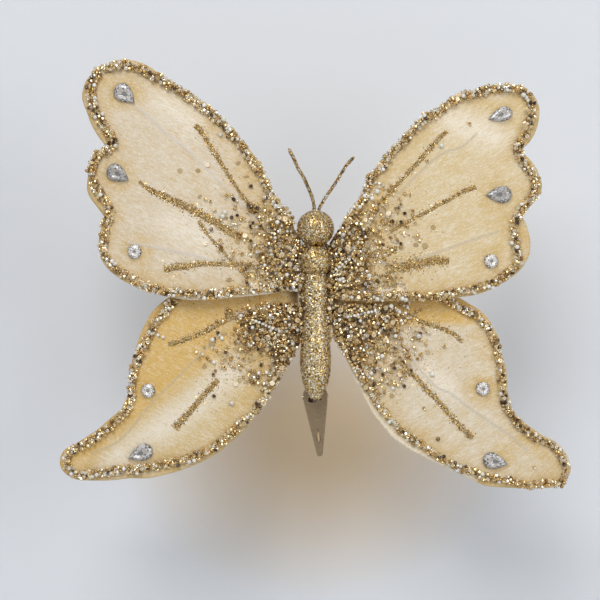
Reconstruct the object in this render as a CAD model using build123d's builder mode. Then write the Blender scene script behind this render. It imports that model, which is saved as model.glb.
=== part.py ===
from build123d import *
from math import cos, hypot, pi, radians, sin, sqrt
import os

# A clip-on butterfly ornament. Millimetres, +Z towards the head, -Y the face, +X the right wings.
# The origin is the middle of the clip's grip. Every height is measured from there.

# Clip: a stamped alligator clip of two channel-shaped halves on one pin
clip_skew = 4.5  # degrees that the clip leans out of line with the body
pivot_height = 18.4
jaw_tip_drop = 10.7
lever_rise = 16.0
lever_splay = 24.0  # degrees that the back lever stands off the front one
clip_sheet = 0.6
clip_depth = 3.0  # from the bite line to a half's outer face
ear_width = 11.6
ear_radius = 2.3
ear_gap = 0.12
jaw_tip_width = 3.0
lever_width = 8.0
lever_corner = 2.0
lever_rim = 0.6  # how far the lever's pressed rim stands off its plate
tooth_pitch = 2.0
tooth_rise = 0.5
tooth_gap = 0.2
toothed_top = 9.5
pin_diameter = 1.5
pin_head_diameter = 2.6
pin_head_thickness = 0.5
pin_play = 0.05
pin_fit = 0.02
notch_width = 4.2
notch_drop = 2.6
notch_across = -1.6
vent_diameter = 1.0
vent_across = 2.4
window_width = 2.2
window_top = 3.2
window_bottom = -3.2
tongue_width = 1.2
tongue_sheet = 0.3
tongue_lift = 0.7
spring_width = 3.4
spring_sheet = 0.35
spring_bow = 2.1
spring_curl = 1.1
spring_foot = 4.4
spring_reach = 9.6
spring_clearance = 0.3

# Body: three glitter-coated foam pieces threaded on a wire
head_diameter = 17.5
thorax_diameter = 15.3
abdomen_diameter = 14.6
abdomen_length = 62.1
tail_height = 16.0
thorax_above_abdomen = 6.3
head_above_thorax = 15.6
neck_above_thorax = 7.25
core_wire_diameter = 1.2
core_wire_play = 0.05
core_wire_start = 12.0  # above the tail's tip
body_to_clip_gap = 0.3
foam_play = 0.06
foam_sides = 22  # flat facets round each foam piece
foam_bands = 11  # from pole to pole of a ball
foam_wire_sides = 8
# Abdomen profile: share of its radius, share of its length up from the tail's tip
abdomen_profile_shares = [
    (0.56, 0.063),
    (0.88, 0.18),
    (1.0, 0.304),
    (0.93, 0.462),
    (0.79, 0.61),
    (0.735, 0.695),
    (0.775, 0.79),
    (0.77, 0.92),
]
abdomen_neck_share = 0.59
abdomen_tail_share = 0.18

# Antennae: glitter-coated wire, seen as arcs in the plane of the body
left_antenna_diameter = 1.5
right_antenna_diameter = 1.2
antenna_depth_in_head = 4.0
antenna_spread = 2.1
antenna_play = 0.05
left_antenna_out = 12.3
left_antenna_up = 29.0
left_antenna_bow = -1.1
right_antenna_out = 17.3
right_antenna_up = 25.2
right_antenna_bow = 1.1

# Hinge of each wing: a root wire's leg that turns in the glue behind the body
hinge_across = 7.5
hinge_behind = 5.0
root_wire_diameter = 1.0
root_wire_play = 0.05
hinge_boss_radius = 1.25
forewing_boss_drop = 2.4  # from the thorax's centre down to the bosses' top
hindwing_boss_drop = 23.0
leg_depth = 8.6
leg_end_gap = 0.5
arm_rise = 1.2
bed_width = 9.6
bed_depth = 9.4
bed_corner = 2.0
bed_over_thorax = 4.5
bed_under_hinge = 9.0
clip_glue_width = 6.4
clip_glue_margin = 1.6

# Wings: two cloths with wires between them, cambered round a vertical axis
cloth_thickness = 0.25
wing_wire = 0.76
wire_play = 0.02
camber_sides = 150  # flat facets round a wing's camber, were it a whole cylinder
margin_step = 5.5  # the straight steps that a cloth's margin is drawn in
band_step = 8.4
cloth_root_across = 9.6
wing_stagger = 1.1  # each wing's plane from the hinge line
trim_gap = 0.03
band_inset = 1.2
band_width = 3.2
band_height = 0.7
vein_width = 1.9
vein_height = 0.6
edge_bead_across = 2.4
edge_bead_height = 1.3
edge_bead_spacing = 13.0
edge_bead_turn = 111.6  # degrees from one bead to the next
root_bead_turn = 90.0
edge_bead_sides = 6
root_bead_sides = 5
root_bead_across = 1.9
root_bead_height = 1.1
root_bead_spacing = 2.85
root_clear = 5.0  # bare cloth between a wing's root and its first bead
pear_length = 13.0
pear_width = 8.7
pear_facets = 14
pear_swell_share = 0.77  # the greatest value of the swelling curve
round_diameter = 7.2
round_facets = 12
stone_girdle = 0.8
stone_crown = 1.9
table_share = 0.6  # a stone's flat top, as a share of its girdle
overrun = 2.0

# Worked out from the sizes above
body_x = -pivot_height * sin(radians(clip_skew))
body_y = -(clip_depth + body_to_clip_gap + abdomen_diameter / 2)
abdomen_top = tail_height + abdomen_length
thorax_height = abdomen_top + thorax_above_abdomen
head_height = thorax_height + head_above_thorax
neck_height = thorax_height + neck_above_thorax
hinge_y = body_y + hinge_behind
boss_top = thorax_height - forewing_boss_drop
boss_bottom = thorax_height - hindwing_boss_drop
wing_thickness = wing_wire + 2 * (cloth_thickness + wire_play)
root_wire_radius = root_wire_diameter / 2
clip_length = jaw_tip_drop + pivot_height + lever_rise

body_plane = Plane(origin=(body_x, body_y, 0), x_dir=(1, 0, 0), z_dir=(0, -1, 0))
clip_lean = Location((0, 0, 0), (0, -clip_skew, 0))


class Wing:
    """One wing: its side, its size, how far its lower edge lies below the thorax, and its shares."""

    def __init__(self, name, side, reach, rise, drop, stagger, lead, camber):
        self.name = name
        self.side = side
        self.reach = reach
        self.rise = rise
        self.base = thorax_height - drop
        self.camber = camber
        root_x = body_x + side * cloth_root_across
        root_y = hinge_y + stagger
        self.centre_x = root_x + side * camber * sin(radians(lead))
        self.centre_y = root_y + camber * cos(radians(lead))

    def spot(self, share):
        """A point of the wing in body_plane's own coordinates, from its two shares."""
        return (self.side * share[0] * self.reach, self.base + share[1] * self.rise)

    def spots(self, shares):
        return [self.spot(share) for share in shares]

    def seat(self, across, height, lift, turn=0.0):
        """The plane that touches the wing's front at a spot, lifted off it, turned in itself."""
        radius = self.camber + wing_thickness / 2
        dx = body_x + across - self.centre_x
        dy = -sqrt(radius**2 - dx**2)
        grow = 1 + lift / radius
        spot = Vector(self.centre_x + dx * grow, self.centre_y + dy * grow, height)
        sideways = Vector(-dy, dx, 0).normalized()
        aim = sideways * cos(radians(turn)) + Vector(0, 0, 1) * sin(radians(turn))
        return Plane(origin=spot, x_dir=aim, z_dir=(dx, dy, 0))


left_forewing = Wing(
    "left_forewing", -1, reach=112.8, rise=115.8, drop=18.9, stagger=-wing_stagger, lead=10.0, camber=300.0
)
right_forewing = Wing(
    "right_forewing", 1, reach=109.5, rise=104.4, drop=19.4, stagger=-wing_stagger, lead=10.0, camber=300.0
)
left_hindwing = Wing(
    "left_hindwing", -1, reach=125.2, rise=94.2, drop=107.2, stagger=wing_stagger, lead=4.0, camber=400.0
)
right_hindwing = Wing(
    "right_hindwing", 1, reach=125.5, rise=97.1, drop=111.1, stagger=wing_stagger, lead=4.0, camber=400.0
)

# Outlines: share of the reach outwards, share of the rise upwards. Each list is one smooth stretch,
# and the stretches meet in the notches between the lobes.
left_forewing.outline_shares = [
    [
        (0.085, 0.275),
        (0.118, 0.356),
        (0.174, 0.44),
        (0.23, 0.553),
        (0.324, 0.675),
        (0.41, 0.767),
        (0.54, 0.864),
        (0.669, 0.943),
        (0.768, 0.99),
        (0.849, 1.0),
        (0.94, 0.964),
        (0.991, 0.893),
        (0.996, 0.83),
        (0.966, 0.746),
        (0.897, 0.633),
    ],
    [(0.897, 0.633), (0.953, 0.604), (0.978, 0.503), (0.961, 0.419), (0.903, 0.342)],
    [
        (0.903, 0.342),
        (0.927, 0.252),
        (0.905, 0.155),
        (0.841, 0.092),
        (0.733, 0.042),
        (0.583, 0.006),
        (0.41, 0.004),
        (0.238, 0.021),
        (0.085, 0.046),
    ],
]
right_forewing.outline_shares = [
    [
        (0.088, 0.298),
        (0.118, 0.349),
        (0.176, 0.433),
        (0.229, 0.563),
        (0.344, 0.702),
        (0.468, 0.842),
        (0.605, 0.935),
        (0.721, 0.981),
        (0.84, 1.0),
        (0.92, 0.991),
        (0.973, 0.935),
        (0.987, 0.865),
        (0.96, 0.763),
        (0.907, 0.698),
    ],
    [(0.907, 0.698), (0.96, 0.637), (1.0, 0.544), (0.978, 0.465), (0.916, 0.398)],
    [
        (0.916, 0.398),
        (0.942, 0.321),
        (0.942, 0.214),
        (0.885, 0.126),
        (0.792, 0.065),
        (0.663, 0.021),
        (0.508, 0.005),
        (0.286, 0.0),
        (0.088, 0.009),
    ],
]
left_hindwing.outline_shares = [
    [
        (0.077, 0.974),
        (0.292, 1.0),
        (0.467, 0.99),
        (0.571, 0.948),
        (0.641, 0.861),
        (0.688, 0.732),
        (0.711, 0.619),
        (0.722, 0.49),
        (0.753, 0.376),
        (0.847, 0.268),
        (0.943, 0.186),
        (0.994, 0.129),
        (0.99, 0.052),
        (0.928, 0.003),
        (0.777, 0.005),
        (0.622, 0.023),
        (0.486, 0.077),
        (0.362, 0.165),
        (0.273, 0.273),
        (0.184, 0.433),
        (0.122, 0.577),
        (0.077, 0.691),
    ],
]
right_hindwing.outline_shares = [
    [
        (0.077, 0.985),
        (0.327, 1.0),
        (0.482, 0.99),
        (0.59, 0.935),
        (0.671, 0.85),
        (0.714, 0.75),
        (0.741, 0.6),
        (0.749, 0.49),
        (0.787, 0.365),
        (0.888, 0.265),
        (0.969, 0.19),
        (1.0, 0.1),
        (0.961, 0.015),
        (0.869, 0.0),
        (0.714, 0.01),
        (0.559, 0.08),
        (0.404, 0.175),
        (0.288, 0.275),
        (0.203, 0.425),
        (0.134, 0.61),
        (0.077, 0.76),
    ],
]

# Wires between the cloths, from the margin to the root, as shares of the same two sizes
left_forewing.wire_shares = [
    [(0.768, 0.809), (0.54, 0.621), (0.303, 0.386), (0.081, 0.175)],
    [(0.798, 0.239), (0.54, 0.193), (0.324, 0.155), (0.081, 0.145)],
]
right_forewing.wire_shares = [
    [(0.707, 0.772), (0.552, 0.679), (0.419, 0.553), (0.083, 0.2)],
    [(0.805, 0.321), (0.552, 0.233), (0.331, 0.183), (0.083, 0.165)],
]
left_hindwing.wire_shares = [
    [(0.835, 0.139), (0.641, 0.397), (0.331, 0.706), (0.073, 0.885)],
    [(0.641, 0.784), (0.37, 0.876), (0.073, 0.905)],
]
right_hindwing.wire_shares = [
    [(0.83, 0.19), (0.598, 0.41), (0.327, 0.65), (0.073, 0.895)],
    [(0.637, 0.8), (0.366, 0.89), (0.073, 0.92)],
]

# Glitter-glue veins
left_forewing.vein_shares = [
    [(0.514, 0.725), (0.415, 0.587), (0.26, 0.369)],
    [(0.75, 0.491), (0.583, 0.403), (0.324, 0.26)],
    [(0.497, 0.327), (0.402, 0.21), (0.29, 0.096)],
    [(0.643, 0.126), (0.475, 0.151), (0.36, 0.143)],
]
right_forewing.vein_shares = [
    [(0.574, 0.781), (0.441, 0.628), (0.286, 0.447)],
    [(0.703, 0.526), (0.486, 0.409), (0.331, 0.321)],
    [(0.583, 0.181), (0.428, 0.172), (0.309, 0.144)],
]
left_hindwing.vein_shares = [
    [(0.567, 0.706), (0.409, 0.789), (0.253, 0.876)],
    [(0.544, 0.278), (0.459, 0.407), (0.378, 0.526)],
]
right_hindwing.vein_shares = [
    [(0.567, 0.74), (0.462, 0.82), (0.397, 0.85)],
    [(0.606, 0.26), (0.443, 0.485), (0.327, 0.64)],
]

# Stones: each pear is a spot and the way its point looks in degrees, each round stone is a spot
left_forewing.pear_shares = [((0.813, 0.86), -39.0), ((0.849, 0.528), -34.0)]
right_forewing.pear_shares = [((0.809, 0.856), 199.0), ((0.809, 0.493), 182.0)]
left_hindwing.pear_shares = [((0.676, 0.144), 203.0)]
right_hindwing.pear_shares = [((0.695, 0.14), -13.0)]
left_forewing.round_share = (0.772, 0.201)
right_forewing.round_share = (0.772, 0.184)
left_hindwing.round_share = (0.649, 0.469)
right_hindwing.round_share = (0.648, 0.505)

# Root beads: rays of beads that fan out from the root, each an aim in degrees and a length
left_forewing.fan_share = (0.09, 0.16)
left_forewing.fan_rays = [(60.0, 40.0), (42.0, 42.0), (24.0, 34.0), (6.0, 34.0), (-8.0, 26.0)]
right_forewing.fan_share = (0.09, 0.16)
right_forewing.fan_rays = [(62.0, 44.0), (46.0, 52.0), (31.0, 44.0), (17.0, 40.0), (-4.0, 34.0)]
left_hindwing.fan_share = (0.08, 0.9)
left_hindwing.fan_rays = [(-8.0, 30.0), (-24.0, 38.0), (-40.0, 48.0), (-54.0, 46.0), (-66.0, 36.0)]
right_hindwing.fan_share = (0.08, 0.9)
right_hindwing.fan_rays = [(-6.0, 36.0), (-20.0, 44.0), (-34.0, 52.0), (-48.0, 50.0), (-60.0, 40.0)]
fan_bead_shares = [0.0, 0.2, 0.42, 0.68, 1.0]

wings = [left_forewing, right_forewing, left_hindwing, right_hindwing]
hindwings = [left_hindwing, right_hindwing]
forewing_hem = min(left_forewing.base, right_forewing.base)


def save(piece, name):
    """Labels a finished piece and writes its file."""
    piece.label = name
    export_step(piece, f"parts/{name}.step")


def outline_face(wing):
    """The wing's outline in body_plane, smooth between its notches and closed along its root."""
    with BuildSketch(body_plane) as outline:
        with BuildLine():
            for stretch in wing.outline_shares:
                Spline(*wing.spots(stretch))
            first = wing.outline_shares[0][0]
            last = wing.outline_shares[-1][-1]
            Line(wing.spot(last), wing.spot(first))
        make_face()
    return outline.sketch


def margin_line(wing, inset):
    """The closed line that runs inside the outline at a steady distance."""
    return outline_face(wing).face().outer_wire().offset_2d(-inset, kind=Kind.ARC)


def margin_face(wing, inset):
    """The face inside such a line, its edge drawn in short straight steps."""
    line = margin_line(wing, inset)
    count = int(line.length / band_step)
    corners = [body_plane.to_local_coords(line.position_at(number / count)) for number in range(count)]
    with BuildSketch(body_plane) as face:
        Polygon(*[(corner.X, corner.Y) for corner in corners], align=None)
    return face.sketch


def cloth_face(wing):
    """The cloth's outline, each smooth stretch drawn in short straight steps."""
    corners = []
    for stretch in wing.outline_shares:
        with BuildLine(mode=Mode.PRIVATE):
            line = Spline(*wing.spots(stretch))
        count = int(line.length / margin_step)
        corners += [line @ (number / count) for number in range(count)]
    last = wing.spot(wing.outline_shares[-1][-1])
    with BuildSketch(body_plane) as face:
        Polygon(*[(corner.X, corner.Y) for corner in corners], last, align=None)
    return face.sketch


def camber_shell(wing, inner, outer):
    """The space between two distances in front of the wing's middle surface."""
    with BuildPart() as shell:
        with BuildSketch(Plane.XY.offset(wing.base - overrun)):
            with Locations((wing.centre_x, wing.centre_y)):
                RegularPolygon(wing.camber + outer, camber_sides)
                RegularPolygon(wing.camber + inner, camber_sides, mode=Mode.SUBTRACT)
        extrude(amount=wing.rise + 2 * overrun)
    return shell.part


def on_wing(wing, sketch, inner, outer):
    """The sketch pushed through the wing and kept between two distances from its middle."""
    with BuildPart() as layer:
        extrude(sketch, amount=wing.reach, both=True)
        add(camber_shell(wing, inner, outer), mode=Mode.INTERSECT)
    return layer.part


def make_cloths(wing):
    """The two cloths, with room between them for the wires."""
    outline = cloth_face(wing)
    face = wing_thickness / 2
    front = on_wing(wing, outline, face - cloth_thickness, face)
    back = on_wing(wing, outline, -face, cloth_thickness - face)
    save(front, f"{wing.name}_front_cloth")
    save(back, f"{wing.name}_back_cloth")


def make_wires(wing):
    """The wing's wires, their arm to the hinge, and the leg that turns in the glue."""
    is_fore = wing not in hindwings
    arm_low = boss_top + leg_end_gap if is_fore else boss_bottom - leg_end_gap - arm_rise
    leg_low = arm_low - leg_depth if is_fore else arm_low
    roots = [wing.spot(run[-1]) for run in wing.wire_shares]
    root_across = roots[0][0]
    root_heights = [height for across, height in roots] + [arm_low, arm_low + arm_rise]
    arm_seat = wing.seat(root_across, arm_low, -wing_thickness / 2)
    with BuildSketch(body_plane) as lines:
        for run in wing.wire_shares:
            with BuildLine() as line:
                Polyline(*wing.spots(run))
            trace(line.line, wing_wire)
        with BuildLine() as riser:
            Line((root_across, min(root_heights)), (root_across, max(root_heights)))
        trace(riser.line, wing_wire)
    strips = on_wing(wing, lines.sketch, -wing_wire / 2, wing_wire / 2)
    hinge_x = body_x + wing.side * hinge_across
    with BuildPart() as wires:
        add(strips)
        with BuildSketch(Plane.XY.offset(leg_low)):
            with Locations((hinge_x, hinge_y)):
                Circle(root_wire_radius)
        extrude(amount=leg_depth + arm_rise)
        with BuildSketch(Plane.XY.offset(arm_low)):
            with BuildLine() as arm:
                Line((hinge_x, hinge_y), (arm_seat.origin.X, arm_seat.origin.Y))
            trace(arm.line, wing_wire)
        extrude(amount=arm_rise)
    save(wires.part, f"{wing.name}_wires")


def make_edging(wing):
    """The band of glue along the margin and the beads seated on it."""
    low = wing_thickness / 2 + trim_gap
    bare = cloth_root_across + root_clear
    with BuildSketch(body_plane) as band:
        add(margin_face(wing, band_inset))
        add(margin_face(wing, band_inset + band_width), mode=Mode.SUBTRACT)
        with Locations((0, wing.base + wing.rise / 2)):
            Rectangle(2 * bare, 2 * wing.rise, mode=Mode.SUBTRACT)
        if wing in hindwings:
            with Locations((0, forewing_hem)):
                Rectangle(
                    3 * wing.reach, wing.rise, align=(Align.CENTER, Align.MIN), mode=Mode.SUBTRACT
                )
    save(on_wing(wing, band.sketch, low, low + band_height), f"{wing.name}_edge_glue")

    line = margin_line(wing, band_inset + band_width / 2)
    count = int(line.length / edge_bead_spacing)
    seats = []
    for number in range(count):
        spot = body_plane.to_local_coords(line.position_at(number / count))
        hidden = wing in hindwings and spot.Y > forewing_hem - edge_bead_across
        if abs(spot.X) > bare + edge_bead_across and not hidden:
            lift = band_height + 2 * trim_gap
            seats.append(wing.seat(spot.X, spot.Y, lift, turn=edge_bead_turn * number))
    with BuildPart() as beads:
        with BuildSketch(*seats):
            RegularPolygon(edge_bead_across / 2, edge_bead_sides, major_radius=False)
        extrude(amount=edge_bead_height)
    save(beads.part, f"{wing.name}_edge_beads")


def make_veins(wing):
    """The glitter-glue lines that run from the root towards the margin."""
    with BuildSketch(body_plane) as lines:
        for run in wing.vein_shares:
            with BuildLine() as line:
                Polyline(*wing.spots(run))
            trace(line.line, vein_width)
    low = wing_thickness / 2 + trim_gap
    veins = on_wing(wing, lines.sketch, low, low + vein_height)
    save(veins, f"{wing.name}_glitter_veins")


def make_root_beads(wing):
    """The fan of beads near the body."""
    start = wing.spot(wing.fan_share)
    field = Face(margin_line(wing, band_inset + band_width + root_bead_across))
    taken = []
    seats = []
    for aim, length in wing.fan_rays:
        for share in fan_bead_shares:
            far = root_clear + share * length
            across = start[0] + wing.side * far * cos(radians(aim))
            height = start[1] + far * sin(radians(aim))
            inside = field.is_inside(body_plane.from_local_coords(Vector(across, height, 0)))
            apart = all(hypot(across - x, height - z) > root_bead_spacing for x, z in taken)
            if inside and apart and not on_vein(wing, across, height):
                taken.append((across, height))
                seats.append(wing.seat(across, height, trim_gap, turn=root_bead_turn * share))
    with BuildPart() as beads:
        with BuildSketch(*seats):
            RegularPolygon(root_bead_across / 2, root_bead_sides)
        extrude(amount=root_bead_height)
    save(beads.part, f"{wing.name}_root_beads")


def on_vein(wing, across, height):
    """Whether a root bead there would stand on one of the wing's veins."""
    near = (vein_width + root_bead_across) / 2 + trim_gap
    for run in wing.vein_shares:
        with BuildLine(mode=Mode.PRIVATE) as line:
            Polyline(*wing.spots(run))
        if line.line.distance_to(Vector(across, height, 0)) < near:
            return True
    return False


def teardrop(length, width, facets):
    """Corners of a pear outline, its point towards +X, centred on its length."""
    corners = []
    for number in range(facets):
        angle = 2 * pi * number / facets
        swell = sin(angle) * sin(angle / 2) / pear_swell_share
        corners.append((length / 2 * cos(angle), width / 2 * swell))
    return corners


def faceted(rings):
    """A solid in flat facets between rings of as many corners each, closed at both ends."""
    faces = [Face(Wire.make_polygon(ring)) for ring in (rings[0], rings[-1])]
    for low, high in zip(rings, rings[1:]):
        for number, corner in enumerate(low):
            faces.append(Face(Wire.make_polygon([low[number - 1], corner, high[number], high[number - 1]])))
    return Solid(Shell(faces))


def cut_stone(wing, share, aim, corners):
    """One stone on the wing: a flat back, an upright girdle and a bevelled crown."""
    across, height = wing.spot(share)
    girdle = trim_gap + stone_girdle
    rings = []
    for lift, size in ((trim_gap, 1), (girdle, 1), (girdle + stone_crown, table_share)):
        seat = wing.seat(across, height, lift, turn=aim)
        rings.append([seat.from_local_coords((size * x, size * y)) for x, y in corners])
    return faceted(rings)


def make_stones(wing):
    """The wing's clear stones: pears in one piece, the round one in another."""
    pear = teardrop(pear_length, pear_width, pear_facets)
    with BuildPart() as pears:
        for share, aim in wing.pear_shares:
            add(cut_stone(wing, share, aim, pear))
    plural = "s" if len(wing.pear_shares) > 1 else ""
    save(pears.part, f"{wing.name}_pear_stone{plural}")

    turns = [2 * pi * number / round_facets for number in range(round_facets)]
    circle = [(round_diameter / 2 * cos(turn), round_diameter / 2 * sin(turn)) for turn in turns]
    with BuildPart() as stone:
        add(cut_stone(wing, wing.round_share, 0, circle))
    save(stone.part, f"{wing.name}_round_stone")


def foam_ring(height, radius):
    """Corners round the body's axis at a height."""
    turns = [2 * pi * number / foam_sides for number in range(foam_sides)]
    return [Vector(body_x + radius * cos(turn), body_y + radius * sin(turn), height) for turn in turns]


def foam_ball(height, diameter, play=0.0):
    """A foam ball on the body's axis, grown by the play that a neighbour keeps."""
    radius = diameter / 2 + play
    angles = [pi * band / foam_bands for band in range(1, foam_bands)]
    return faceted([foam_ring(height - radius * cos(angle), radius * sin(angle)) for angle in angles])


def foam_abdomen(play=0.0):
    """The long abdomen, grown by the play."""
    rings = []
    for share, up in [(abdomen_tail_share, 0), *abdomen_profile_shares, (abdomen_neck_share, 1)]:
        height = tail_height + up * abdomen_length - (0 if up else play)
        rings.append(foam_ring(height, share * abdomen_diameter / 2 + play))
    return faceted(rings)


def foam_bore(low, high):
    """What is cut out for the core wire."""
    with BuildPart() as bore:
        with BuildSketch(Plane.XY.offset(low)):
            with Locations((body_x, body_y)):
                RegularPolygon(core_wire_diameter / 2 + core_wire_play, foam_wire_sides)
        extrude(amount=high - low)
    return bore.part


def make_body():
    """Head, thorax and abdomen with their bores, and the wire that threads them."""
    wire_low = tail_height + core_wire_start
    wire_high = head_height
    with BuildPart() as abdomen:
        add(foam_abdomen())
        add(foam_bore(wire_low, abdomen_top + overrun), mode=Mode.SUBTRACT)
    save(abdomen.part, "abdomen")

    with BuildPart() as thorax:
        add(foam_ball(thorax_height, thorax_diameter))
        split(bisect_by=Plane.XY.offset(neck_height), keep=Keep.BOTTOM)
        split(bisect_by=Plane.XY.offset(abdomen_top), keep=Keep.TOP)
        add(foam_bore(abdomen_top - overrun, neck_height + overrun), mode=Mode.SUBTRACT)
    save(thorax.part, "thorax")

    with BuildPart() as head:
        add(foam_ball(head_height, head_diameter))
        split(bisect_by=Plane.XY.offset(neck_height), keep=Keep.TOP)
        add(foam_bore(neck_height - overrun, wire_high), mode=Mode.SUBTRACT)
        add(antenna(-1, left_antenna_diameter + 2 * antenna_play), mode=Mode.SUBTRACT)
        add(antenna(1, right_antenna_diameter + 2 * antenna_play), mode=Mode.SUBTRACT)
    save(head.part, "head")

    with BuildPart() as core_wire:
        with BuildSketch(Plane.XY.offset(wire_low + core_wire_play)):
            with Locations((body_x, body_y)):
                RegularPolygon(core_wire_diameter / 2, foam_wire_sides)
        extrude(amount=wire_high - wire_low - 2 * core_wire_play)
    save(core_wire.part, "core_wire")


def antenna(side, diameter):
    """One antenna: a wire bent to an arc, its root sunk in the top of the head."""
    out, up, bow = (
        (left_antenna_out, left_antenna_up, left_antenna_bow)
        if side < 0
        else (right_antenna_out, right_antenna_up, right_antenna_bow)
    )
    root_height = head_height + head_diameter / 2 - antenna_depth_in_head
    root = (side * antenna_spread / 2, root_height)
    tip = (side * (antenna_spread / 2 + out), root_height + antenna_depth_in_head + up)
    with BuildPart() as wire:
        with BuildLine(body_plane) as path:
            SagittaArc(root, tip, bow)
        with BuildSketch(Plane(origin=path.line @ 0, z_dir=path.line % 0)):
            RegularPolygon(diameter / 2, foam_wire_sides)
        sweep()
    return wire.part


def make_glue_bed():
    """Hot-melt glue behind the thorax: a mound with the bosses that the wings' wires turn in."""
    mound_low = boss_bottom - bed_under_hinge
    mound_high = thorax_height + bed_over_thorax
    with BuildPart() as glue_bed:
        with BuildSketch(Plane.XY.offset(boss_bottom)):
            with Locations((body_x, hinge_y)):
                SlotCenterToCenter(2 * hinge_across, 2 * hinge_boss_radius)
        extrude(amount=boss_top - boss_bottom)
        with BuildSketch(Plane.XY.offset(mound_low)):
            with Locations((body_x, body_y)):
                Rectangle(bed_width, bed_depth, align=(Align.CENTER, Align.MIN))
        extrude(amount=mound_high - mound_low)
        fillet(glue_bed.edges().filter_by(Axis.Z).group_by(Axis.Y)[-1], radius=bed_corner)
        add(foam_ball(thorax_height, thorax_diameter, foam_play), mode=Mode.SUBTRACT)
        add(foam_ball(head_height, head_diameter, foam_play), mode=Mode.SUBTRACT)
        add(foam_abdomen(foam_play), mode=Mode.SUBTRACT)
        for side in (-1, 1):
            with Locations((body_x + side * hinge_across, hinge_y, boss_bottom)):
                Cylinder(
                    root_wire_radius + root_wire_play,
                    boss_top - boss_bottom,
                    align=(Align.CENTER, Align.CENTER, Align.MIN),
                    mode=Mode.SUBTRACT,
                )
    save(glue_bed.part, "glue_bed")


def make_clip_glue():
    """The pad of glue that holds the clip's front lever to the abdomen."""
    pad_low = pivot_height + ear_radius + clip_glue_margin
    pad_high = pivot_height + lever_rise - clip_glue_margin
    with BuildPart() as clip_glue:
        with BuildSketch(Plane.XY.offset(pad_low)):
            with Locations((body_x, body_y)):
                Rectangle(clip_glue_width, -clip_depth - body_y, align=(Align.CENTER, Align.MIN))
        extrude(amount=pad_high - pad_low)
        add(foam_abdomen(foam_play), mode=Mode.SUBTRACT)
    save(clip_glue.part, "clip_glue")


def clip_plan(inset, width, plane=Plane.XZ):
    """The outline of a clip half from the front: lever, ears and tapered jaw, drawn inset."""
    lever_top = pivot_height + lever_rise
    ear_low = pivot_height - ear_radius
    ear_high = pivot_height + ear_radius
    half_tip = jaw_tip_width / 2
    with BuildSketch(plane) as plan:
        with BuildLine():
            Polyline(
                (half_tip - inset, -jaw_tip_drop + half_tip),
                (width / 2 - inset, ear_low),
                (width / 2 - inset, ear_high),
                (lever_width / 2 - inset, ear_high + ear_radius),
                (lever_width / 2 - inset, lever_top),
                (inset - lever_width / 2, lever_top),
                (inset - lever_width / 2, ear_high + ear_radius),
                (inset - width / 2, ear_high),
                (inset - width / 2, ear_low),
                (inset - half_tip, -jaw_tip_drop + half_tip),
            )
            ThreePointArc(
                (inset - half_tip, -jaw_tip_drop + half_tip),
                (0, -jaw_tip_drop + inset),
                (half_tip - inset, -jaw_tip_drop + half_tip),
            )
        make_face()
        fillet(plan.vertices().group_by(Axis.Y)[-1], radius=lever_corner - inset)
    return plan.sketch


def tooth_line(shift):
    """The bite line of a jaw from its tip to the last tooth, moved off the middle by the shift."""
    points = [(shift, -jaw_tip_drop - overrun), (shift, -jaw_tip_drop + jaw_tip_width)]
    height = -jaw_tip_drop + jaw_tip_width
    turn = 1
    while height + tooth_pitch / 2 < toothed_top:
        points.append((shift + turn * tooth_rise, height + tooth_pitch / 4))
        points.append((shift - turn * tooth_rise, height + 3 * tooth_pitch / 4))
        height += tooth_pitch
    points.append((shift, height))
    return points


def clip_walls(width, side_points):
    """The side walls of a half: the rim of its plan, kept within a profile seen from the side."""
    with BuildPart() as walls:
        extrude(clip_plan(0, width), amount=clip_length, both=True)
        with BuildSketch(Plane.XZ):
            add(clip_plan(clip_sheet, width))
            with Locations((0, pivot_height + lever_rise)):
                Rectangle(lever_width - 2 * clip_sheet, 2 * overrun)
        extrude(amount=clip_length, both=True, mode=Mode.SUBTRACT)
        with BuildSketch(Plane.YZ):
            with BuildLine():
                Polyline(*side_points, close=True)
            make_face()
        extrude(amount=ear_width, both=True, mode=Mode.INTERSECT)
    return walls.part


def make_fixed_jaw():
    """The front half, glued to the body: plate, ears, toothed walls, notch, vent and window."""
    plate_back = clip_sheet - clip_depth
    ear_low = pivot_height - ear_radius
    ear_high = pivot_height + ear_radius
    lever_top = pivot_height + lever_rise
    rim = plate_back + lever_rim
    side = [
        (-clip_depth, -jaw_tip_drop - overrun),
        *tooth_line(-tooth_gap / 2),
        (-tooth_gap / 2, ear_low),
        (ear_radius, ear_low),
        (ear_radius, pivot_height),
        (0, ear_high),
        (rim, ear_high + ear_radius),
        (rim, lever_top + overrun),
        (-clip_depth, lever_top + overrun),
    ]
    with BuildPart() as clip_fixed_jaw:
        extrude(clip_plan(0, ear_width, Plane.XZ.offset(-plate_back)), amount=clip_sheet)
        add(clip_walls(ear_width, side))
        with Locations(Location((0, 0, pivot_height), (0, 90, 0))):
            Cylinder(pin_diameter / 2 + pin_fit, 2 * ear_width, mode=Mode.SUBTRACT)
        with BuildSketch(Plane.XZ):
            with Locations((notch_across, pivot_height - notch_drop / 2)):
                SlotOverall(notch_width, notch_drop)
            with Locations((vent_across, pivot_height - notch_drop / 2)):
                Circle(vent_diameter / 2)
            Polygon(
                (-window_width / 2, window_bottom),
                (window_width / 2, window_bottom),
                (0, window_top),
                align=None,
            )
        extrude(amount=clip_depth, mode=Mode.SUBTRACT)
        with BuildSketch(Plane.YZ.offset(-tongue_width / 2)):
            Polygon(
                (-clip_depth, window_bottom),
                (plate_back - tongue_sheet, window_bottom),
                (plate_back + tongue_lift, window_top / 2),
                (plate_back + tongue_lift - tongue_sheet, window_top / 2),
                align=None,
            )
        extrude(amount=tongue_width)
    save(clip_fixed_jaw.part.moved(clip_lean), "clip_fixed_jaw")


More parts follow.
